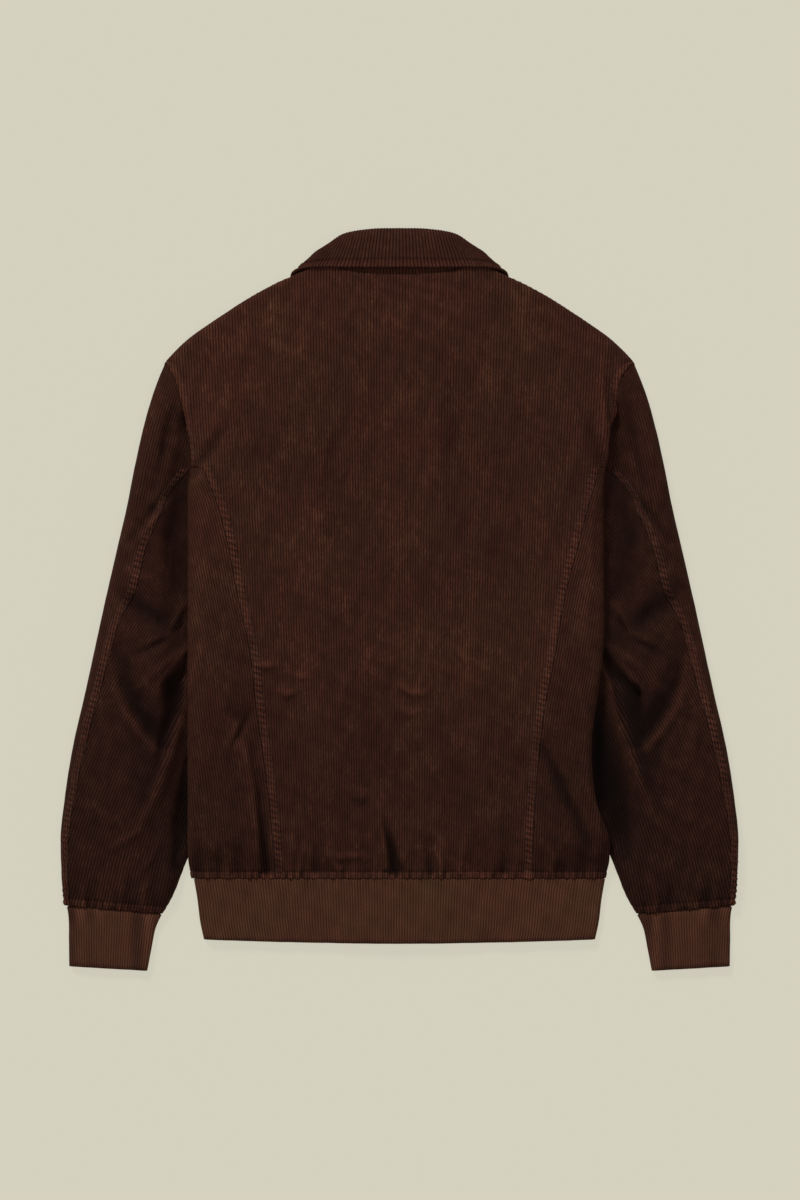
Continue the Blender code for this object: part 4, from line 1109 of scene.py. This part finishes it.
def collar_line(turn, steps):
    """Points and normals of one wale, from the neck seam over the roll to the leaf's edge."""
    side = -1 if turn < 0 else 1
    row = {name: at(STATIONS, name, abs(turn)) for name in STATIONS if name != "y"}
    neckline = back_neck if abs(turn) < 0.56 else front_neck
    row["neck_y"] = float(neckline(row["neck_x"], NECK_Y)) - row["tuck"]
    neck, fold, edge = (np.array([side * row[p + "_x"], row[p + "_y"], row[p + "_z"]])
                        for p in ("neck", "fold", "edge"))
    facing = math.radians(row["facing"])
    rise = unit(fold - neck)
    normal = np.array([side * 0.72, 0.69, 0.0]) * math.sin(facing) + np.array([0, 0, math.cos(facing)])
    normal = unit(normal - rise * normal.dot(rise))
    fall = unit(edge - normal * FOLD_HEIGHT - fold)
    seam = neck + rise * SEAM - normal * COLLAR
    over = [fold - rise * FOLD_BACK - normal * FOLD_HEIGHT,
            fold + rise * FOLD_REACH - normal * FOLD_HEIGHT,
            fold + rise * FOLD_REACH + normal * FOLD_HEIGHT,
            fold + fall * FOLD_FRONT + normal * FOLD_HEIGHT]
    t = np.linspace(0, 1, 14)[:, None]
    roll = ((1 - t) ** 3 * over[0] + 3 * t * (1 - t) ** 2 * over[1] + 3 * t * t * (1 - t) * over[2]
            + t ** 3 * over[3])
    line = np.concatenate([[seam], roll, [edge]])
    wanted = np.linspace(0, total(line), steps)
    return points_along(line, wanted), total(line) - wanted


print("the middle wale is", round(collar_line(0.0, 24)[1][0]), "mm long")

# %% The collar
COLLAR_WALE = 3.2
LEAF_STITCH = 8.4          # the topstitching's distance from the leaf's edge
LEAF_ROUND = 2.2           # the edge itself is rounded over this width


def collar_grid(turns, steps):
    lines = [collar_line(turn, steps) for turn in turns]
    places = np.array([line for line, _ in lines])
    to_edge = np.array([left for _, left in lines])
    along_turn = np.gradient(places, axis=0)
    along_line = np.gradient(places, axis=1)
    normals = np.cross(along_line, along_turn)
    normals /= np.linalg.norm(normals, axis=2)[:, :, None]
    number = np.arange(len(turns))
    band = 1 - ramp(to_edge, LEAF_STITCH - 1.2, LEAF_STITCH + 0.6)
    ribs = np.array(RIB_PROFILE[2])[number % 2][:, None] * ramp(to_edge, 0.0, 1.0) * (1 - 0.6 * band)
    stitched = -0.9 * np.exp(-((to_edge - LEAF_STITCH) / 0.9) ** 2)
    edge_length = lengths_along(places[:, -1])[:, None]
    puckers = 0.5 * ripple(edge_length, 6.1, 0.9) * np.exp(-((to_edge - 4.6) / 3.2) ** 2)
    rounding = -1.1 * (1 - rounded(to_edge, LEAF_ROUND))
    raised = stitched + puckers + 0.35 * band
    places = places - normals * (ribs + raised + rounding)[:, :, None]
    places[:, :, 2] = np.maximum(places[:, :, 2], 0.0)
    # lighter on the raised, worn band and puckers, and darker in the stitch line's groove as painted shade
    tone = np.exp(PUCKER_WEAR_AND_SHADE * raised) * (1 + 0.05 * band)
    cloth = np.stack([np.broadcast_to(number[:, None] / 2.0, to_edge.shape), to_edge, tone], axis=2)
    return places, cloth


samples = np.linspace(-1, 1, 201)
middles = np.array([collar_line(turn, 24)[0][16] for turn in samples])
travel = lengths_along(middles)
count = int(travel[-1] / COLLAR_WALE) * 2
turns = np.interp(np.linspace(0, travel[-1], count + 1), travel, samples)
places, cloth = collar_grid(turns, 52)
collar = cloth_piece("collar_cloth", [(places, cloth, 0.98)], COLLAR, "corduroy", flip=False)
print("collar is", round(travel[-1]), "mm long, with", count // 2, "wales")

# %% [markdown]
# ## Buttons
# Seven resin buttons close the hidden front. A turned profile gives the rim and the dished middle,
# and four holes are cut through it once, before the button is copied to its places.

# %% One button
PROFILE = [(0.0, 0.7), (4.6, 0.7), (5.6, 0.25), (6.9, 0.0), (8.0, 0.25), (8.5, 0.9), (8.4, 1.6), (7.6, 2.2),
           (0.0, 2.2)]     # from its middle over the rim to its back: radius, height
HOLE_RADIUS = 0.8
HOLE_PLACE = 1.5           # the holes lie this far from the middle, both ways


def button_body():
    mesh_data = bmesh.new()
    verts = [mesh_data.verts.new((r * MM, 0, z * MM)) for r, z in PROFILE]
    edges = [mesh_data.edges.new(pair) for pair in zip(verts[:-1], verts[1:])]
    bmesh.ops.spin(mesh_data, geom=verts + edges, cent=(0, 0, 0), axis=(0, 0, 1), steps=40,
                   angle=2 * math.pi, use_merge=True)
    bmesh.ops.remove_doubles(mesh_data, verts=mesh_data.verts, dist=1e-6)
    bmesh.ops.recalc_face_normals(mesh_data, faces=mesh_data.faces)
    return mesh_data


def mesh_object(name, mesh_data):
    mesh = bpy.data.meshes.new(name)
    mesh_data.to_mesh(mesh)
    mesh_data.free()
    made = bpy.data.objects.new(name, mesh)
    bpy.context.scene.collection.objects.link(made)
    return made


blank = mesh_object("button_blank", button_body())
drill_data = bmesh.new()
for dx, dy in ((-1, -1), (1, -1), (1, 1), (-1, 1)):
    middle = (dx * HOLE_PLACE * MM, dy * HOLE_PLACE * MM, 1.2 * MM)
    bmesh.ops.create_cone(drill_data, cap_ends=True, segments=14, radius1=HOLE_RADIUS * MM,
                          radius2=HOLE_RADIUS * MM, depth=8 * MM, matrix=Matrix.Translation(middle))
drill = mesh_object("button_drill", drill_data)
cut = blank.modifiers.new("Holes", "BOOLEAN")
cut.operation = "DIFFERENCE"
cut.object = drill
drilled = bpy.data.meshes.new_from_object(blank.evaluated_get(bpy.context.evaluated_depsgraph_get()))
bpy.data.objects.remove(blank, do_unlink=True)
bpy.data.objects.remove(drill, do_unlink=True)
print("a button has", len(drilled.polygons), "faces")

# %% Seven buttons
BUTTON_LEVELS = [(228.0, 1.4), (134.0, 0.2), (40.0, 0.2), (-54.0, 0.2), (-148.0, 0.2), (-242.0, 0.2),
                 (-312.0, 0.2)]
buttons = []
for number, (y, z) in enumerate(BUTTON_LEVELS, 1):
    mesh = drilled.copy()
    mesh.name = f"button_{number}_resin"
    mesh.transform(Matrix.Translation((0, y * MM, z * MM)))
    button = bpy.data.objects.new(mesh.name, mesh)
    bpy.context.scene.collection.objects.link(button)
    mesh.shade_smooth()
    mesh.set_sharp_from_angle(angle=math.radians(40))
    buttons.append(button)
    finishes.append((button, "buttons"))
print(len(buttons), "buttons")

# %% [markdown]
# ## Stitches
# A stitch is a short thread that dips into the cloth at both ends. Thousands of them are needed, so
# each is a low-count ball pulled long, and they are all joined in one piece for each seam.

# %% Rows of stitches along a line


def stitch_row(mesh_data, line, pitch=3.3, length=2.5, radius=0.34):
    """Lays stitches along a line of points, each turned to run with it."""
    wanted = np.arange(pitch, total(line) - pitch, pitch)
    size = Matrix.Diagonal((length / 2 * MM, radius * MM, radius * MM, 1))
    for here, ahead in zip(points_along(line, wanted), points_along(line, wanted + 1.0)):
        turn = Vector(ahead - here).to_track_quat("X", "Z").to_matrix().to_4x4()
        bmesh.ops.create_uvsphere(mesh_data, u_segments=6, v_segments=4, radius=1.0,
                                  matrix=Matrix.Translation(Vector(here) * MM) @ turn @ size)


def seam_line(row, levels, which, inset, height=0.55, **options):
    """The line that lies at one distance from a panel's edge, on the top of its band."""
    def cut(y):
        whole = row(y)
        start = whole["first"] + inset if which == 0 else whole["last"] - inset
        return {**whole, "first": start, "last": start + 0.01}
    places, _ = woven(levels, cut, per_wale=1, **options)
    return places[:, 1] + np.array([0, 0, height])


def thread_piece(name, lines):
    mesh_data = bmesh.new()
    for line in lines:
        stitch_row(mesh_data, line)
    piece = mesh_object(name, mesh_data)
    piece.data.shade_smooth()
    finishes.append((piece, "thread"))
    print(name, "stitches", len(piece.data.vertices) // 20)
    return piece


sample = seam_line(back_centre_row, np.arange(0, 20, 4.0), 0, BAND * STITCHED[0])
print("a line of", len(sample), "points, lifted to", round(float(sample[0, 2]), 1), "mm")

# %% Stitches of the princess and elbow seams
threads = []
body_options = {"shift_y": back_neck, "creases": CREASES["body"], "gather": body_gather}
for which, word in ((0, "left"), (1, "right")):
    lines = [seam_line(back_centre_row, np.arange(-277, 131, 4.0), which, BAND * share, **body_options)
             for share in STITCHED]
    lines += [seam_line(back_centre_row, np.arange(134, 234, 4.0), which, BAND * STITCHED[1], 0.6,
                        **body_options)]
    threads.append(thread_piece(f"princess_stitches_{word}", lines))
for side, word in ((-1, "left"), (1, "right")):
    options = {"out": side, "shift_y": cuff_tilt, "creases": CREASES[word], "gather": sleeve_gather}
    lines = [seam_line(sleeve_top_row(side), np.arange(-303, 131, 4.0), 0, BAND * share, **options)
             for share in STITCHED]
    threads.append(thread_piece(f"elbow_stitches_{word}", lines))

# %% [markdown]
# ## Finishes
# Corduroy is dark in its grooves and lighter on the worn tops of its wales. Its pile also changes
# tone in soft patches, where it has been brushed one way or the other. The cloth's own coordinates,
# which were stored with every point, carry the wale number, so the colour follows each wale round
# every fold. A flat projection would slide over the folds and ignore the fan of the wales.

# %% Helpers for shader nodes


def new_group(name, inputs, outputs):
    group = bpy.data.node_groups.new(name, "ShaderNodeTree")
    for label, kind, value in inputs:
        socket = group.interface.new_socket(label, in_out="INPUT", socket_type=kind)
        if value is not None:
            socket.default_value = value
    for label, kind in outputs:
        group.interface.new_socket(label, in_out="OUTPUT", socket_type=kind)
    return group, group.nodes.new("NodeGroupInput"), group.nodes.new("NodeGroupOutput")


def feed(tree, sockets, values):
    """Links each output to its socket, or puts the constant on it."""
    for socket, value in zip(sockets, values):
        if isinstance(value, bpy.types.NodeSocket):
            tree.links.new(value, socket)
        else:
            socket.default_value = value


def math_node(tree, operation, *values):
    node = tree.nodes.new("ShaderNodeMath")
    node.operation = operation
    feed(tree, node.inputs, values)
    return node.outputs[0]


def mix_colour(tree, factor, a, b, blend="MIX"):
    node = tree.nodes.new("ShaderNodeMix")
    node.data_type = "RGBA"
    node.blend_type = blend
    feed(tree, (node.inputs[0], node.inputs[6], node.inputs[7]), (factor, a, b))
    return node.outputs[2]


def noise(tree, vector, scale, detail=3.0, roughness=0.55):
    node = tree.nodes.new("ShaderNodeTexNoise")
    tree.links.new(vector, node.inputs["Vector"])
    node.inputs["Scale"].default_value = scale
    node.inputs["Detail"].default_value = detail
    node.inputs["Roughness"].default_value = roughness
    return node.outputs[0]


def stretched(tree, value, low, high, to_low=0.0, to_high=1.0):
    node = tree.nodes.new("ShaderNodeMapRange")
    labels = ("Value", "From Min", "From Max", "To Min", "To Max")
    feed(tree, [node.inputs[label] for label in labels], (value, low, high, to_low, to_high))
    return node.outputs[0]


print("before any finish there are", len(bpy.data.node_groups), "node groups")

# %% A group for ribbed cloth, used by the corduroy and by the knit
FLOAT, COLOUR, VECTOR = "NodeSocketFloat", "NodeSocketColor", "NodeSocketVector"


def ribbed_cloth_group():
    """Tone of the ribs and their grooves, soft patches, fibres and the height for a bump."""
    group, given, out = new_group(
        "ribbed_cloth",
        [("Cloth", VECTOR, None), ("Place", VECTOR, None), ("Groove", COLOUR, (0.01, 0.005, 0.003, 1)),
         ("Rib", COLOUR, (0.05, 0.02, 0.012, 1)), ("Worn", COLOUR, (0.09, 0.04, 0.025, 1)),
         ("Patches", FLOAT, 0.3), ("Mottle", FLOAT, 1.0), ("Rib height", FLOAT, 0.3)],
        [("Colour", COLOUR), ("Roughness", FLOAT), ("Height", FLOAT)])
    split = group.nodes.new("ShaderNodeSeparateXYZ")
    group.links.new(given.outputs["Cloth"], split.inputs[0])
    place = given.outputs["Place"]

    def around_zero(value, amount):
        return math_node(group, "MULTIPLY", math_node(group, "SUBTRACT", value, 0.5), amount)

    def swung(tone, value, amount):
        """Multiplies a tone by 1, more or less, as a noise says."""
        swing = math_node(group, "MULTIPLY", around_zero(value, amount), given.outputs["Mottle"])
        return math_node(group, "MULTIPLY", tone, math_node(group, "ADD", swing, 1.0))

    long_way = group.nodes.new("ShaderNodeMapping")
    long_way.inputs["Scale"].default_value = (1.0, 0.5, 1.0)
    group.links.new(place, long_way.inputs["Vector"])
    broad = noise(group, place, 9.0, 2.0)
    patch = noise(group, long_way.outputs[0], 46.0, 5.0, 0.68)
    flecks = noise(group, long_way.outputs[0], 230.0, 4.0, 0.72)
    fuzz = noise(group, place, 900.0, 2.0, 0.7)
    wander = around_zero(noise(group, place, 60.0, 3.0, 0.6), 0.5)
    turn = math_node(group, "MULTIPLY", math_node(group, "ADD", split.outputs[0], wander), math.pi)
    wale = math_node(group, "ABSOLUTE", math_node(group, "SINE", turn))
    tone = mix_colour(group, stretched(group, wale, 0.15, 0.85), given.outputs["Groove"],
                      given.outputs["Rib"])
    wear = math_node(group, "MULTIPLY", stretched(group, patch, 0.42, 0.7),
                     stretched(group, flecks, 0.46, 0.72))
    wear = math_node(group, "MULTIPLY", wear, stretched(group, wale, 0.4, 1.0))
    tone = mix_colour(group, math_node(group, "MULTIPLY", wear, given.outputs["Patches"]), tone,
                      given.outputs["Worn"])
    # the third value of the cloth attribute carries the painted light and shade and the seam wear laid into
    # the grids
    swing = split.outputs[2]
    for value, amount in ((broad, 0.6), (patch, 0.75), (flecks, 1.0), (fuzz, 0.6)):
        swing = swung(swing, value, amount)
    grey = group.nodes.new("ShaderNodeCombineColor")
    for socket in grey.inputs:
        group.links.new(swing, socket)
    fading = stretched(group, noise(group, place, 13.0, 4.0, 0.6), 0.44, 0.68)
    faded = math_node(group, "MULTIPLY", fading, 0.75)
    tone = mix_colour(group, faded, tone, mix_colour(group, 1.0, tone, (0.98, 1.16, 1.06, 1), "MULTIPLY"))
    colour = mix_colour(group, 1.0, tone, grey.outputs[0], "MULTIPLY")
    height = math_node(group, "MULTIPLY_ADD", wale, given.outputs["Rib height"],
                       math_node(group, "MULTIPLY", fuzz, 0.25))
    group.links.new(colour, out.inputs["Colour"])
    group.links.new(stretched(group, fuzz, 0.2, 0.8, 0.98, 0.82), out.inputs["Roughness"])
    group.links.new(height, out.inputs["Height"])
    return group


ribbed = ribbed_cloth_group()
print("group", ribbed.name, "has", len(ribbed.nodes), "nodes")

# %% Two kinds of material


def new_material(name):
    made = bpy.data.materials.new(name)
    made.use_nodes = True
    return made, made.node_tree, made.node_tree.nodes["Principled BSDF"]


def cloth_material(name, colours, patches, mottle, rib_height, distance):
    """Corduroy or knit: the group's tone and height on the piece's own cloth coordinates."""
    made, tree, shader = new_material(name)
    cloth = tree.nodes.new("ShaderNodeAttribute")
    cloth.attribute_name = "cloth"
    place = tree.nodes.new("ShaderNodeTexCoord")
    look = tree.nodes.new("ShaderNodeGroup")
    look.node_tree = ribbed
    tree.links.new(cloth.outputs["Vector"], look.inputs["Cloth"])
    tree.links.new(place.outputs["Object"], look.inputs["Place"])
    for label, colour in zip(("Groove", "Rib", "Worn"), colours):
        look.inputs[label].default_value = (*colour, 1)
    for label, value in (("Patches", patches), ("Mottle", mottle), ("Rib height", rib_height)):
        look.inputs[label].default_value = value
    bump = tree.nodes.new("ShaderNodeBump")
    bump.inputs["Strength"].default_value = 0.7
    bump.inputs["Distance"].default_value = distance * MM
    tree.links.new(look.outputs["Height"], bump.inputs["Height"])
    tree.links.new(bump.outputs[0], shader.inputs["Normal"])
    tree.links.new(look.outputs["Colour"], shader.inputs["Base Color"])
    tree.links.new(look.outputs["Roughness"], shader.inputs["Roughness"])
    shader.inputs["Specular IOR Level"].default_value = 0.07
    shader.inputs["Sheen Weight"].default_value = 0.05
    shader.inputs["Sheen Roughness"].default_value = 0.45
    shader.inputs["Sheen Tint"].default_value = (0.55, 0.24, 0.15, 1)
    return made


def plain_material(name, colour, roughness, scale):
    """Resin or thread: one colour with a fine mottle and a slight uneven gloss."""
    made, tree, shader = new_material(name)
    place = tree.nodes.new("ShaderNodeTexCoord")
    mottle = noise(tree, place.outputs["Object"], scale)
    dark = tuple(c * 0.6 for c in colour)
    tree.links.new(mix_colour(tree, mottle, (*dark, 1), (*colour, 1)), shader.inputs["Base Color"])
    tree.links.new(stretched(tree, mottle, 0.3, 0.7, roughness - 0.08, roughness + 0.08),
                   shader.inputs["Roughness"])
    return made


print("the materials read the attribute cloth and Object coordinates")

# %% The finishes of this jacket
CORD_COLOURS = ((0.0105, 0.0030, 0.0020), (0.043, 0.0135, 0.0082), (0.098, 0.040, 0.021))
KNIT_COLOURS = ((0.028, 0.0094, 0.0057), (0.065, 0.0245, 0.0140), (0.085, 0.036, 0.022))
MATERIALS = {
    "corduroy": cloth_material("corduroy", CORD_COLOURS, 0.6, 0.9, 0.15, 0.4),
    "corduroy_hidden": cloth_material("corduroy_hidden", CORD_COLOURS, 0.6, 0.9, 1.0, 0.7),
    "rib_knit": cloth_material("rib_knit", KNIT_COLOURS, 0.15, 0.4, 0.15, 0.4),
    "buttons": plain_material("button_resin", (0.03, 0.016, 0.01), 0.32, 260.0),
    "thread": plain_material("thread", (0.03, 0.012, 0.008), 0.75, 800.0),
}
for piece, finish in finishes:
    piece.data.materials.clear()
    piece.data.materials.append(MATERIALS[finish])
    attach(piece, ROOT)
print(len(finishes), "pieces finished")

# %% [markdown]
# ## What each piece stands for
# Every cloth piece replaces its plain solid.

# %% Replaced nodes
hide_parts("back_centre")
for number, word in enumerate(("left", "right")):
    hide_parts(f"back_side_{word}")
    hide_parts(f"front_{word}")
    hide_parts(f"sleeve_top_{word}")
    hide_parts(f"sleeve_under_{word}")
    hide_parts(f"cuff_{word}")
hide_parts("hem_rib")
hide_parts("collar")
for number, button in enumerate(buttons, 1):
    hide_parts(f"button_{number}")
print(len(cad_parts), "plain nodes are replaced")

# %% [markdown]
# ## Studio
# A pale floor, a wide soft light from beyond the collar and a weak fill all round show the wales
# without hard shadows. The camera looks straight down on the back.

# %% The floor
FLOOR_COLOUR = (0.10, 0.096, 0.079, 1)
FLOOR_GLOW = (0.565, 0.542, 0.448, 1)
floor_data = bmesh.new()
bmesh.ops.create_grid(floor_data, x_segments=1, y_segments=1, size=4.0)
floor = mesh_object("floor", floor_data)
floor_paper, tree, paper = new_material("floor_paper")
paper.inputs["Base Color"].default_value = FLOOR_COLOUR
paper.inputs["Roughness"].default_value = 0.95
paper.inputs["Specular IOR Level"].default_value = 0.0
paper.inputs["Emission Color"].default_value = FLOOR_GLOW
paper.inputs["Emission Strength"].default_value = 1.0
floor.data.materials.append(floor_paper)
print("floor of", round(floor.dimensions.x, 1), "m")

# %% Lights and camera
WINDOW_COLOUR = (1.0, 0.985, 0.96)
world = bpy.data.worlds.new("studio")
world.use_nodes = True
world.node_tree.nodes["Background"].inputs["Color"].default_value = (*WINDOW_COLOUR, 1)
world.node_tree.nodes["Background"].inputs["Strength"].default_value = 0.32
bpy.context.scene.world = world


def soft_sun(name, towards, strength, softness):
    """An even light from far away, as from a large window."""
    lamp = bpy.data.lights.new(name, "SUN")
    lamp.energy = strength
    lamp.angle = math.radians(softness)
    lamp.color = WINDOW_COLOUR
    holder = bpy.data.objects.new(name, lamp)
    holder.rotation_euler = Vector(towards).to_track_quat("-Z", "Y").to_euler()
    bpy.context.scene.collection.objects.link(holder)


soft_sun("window", (0.42, -0.85, -0.62), 2.4, 14)
soft_sun("overhead", (-0.25, 0.1, -1.0), 0.9, 50)

lens = bpy.data.cameras.new("camera")
lens.lens = 90.0
lens.sensor_width = 36.0
camera = bpy.data.objects.new("camera", lens)
camera.location = (0.0005, 0.0, 3.012)
bpy.context.scene.collection.objects.link(camera)
bpy.context.scene.camera = camera
bpy.context.scene.view_settings.view_transform = "Standard"
print("camera at", round(camera.location.z, 2), "m above the floor, lens", lens.lens, "mm")
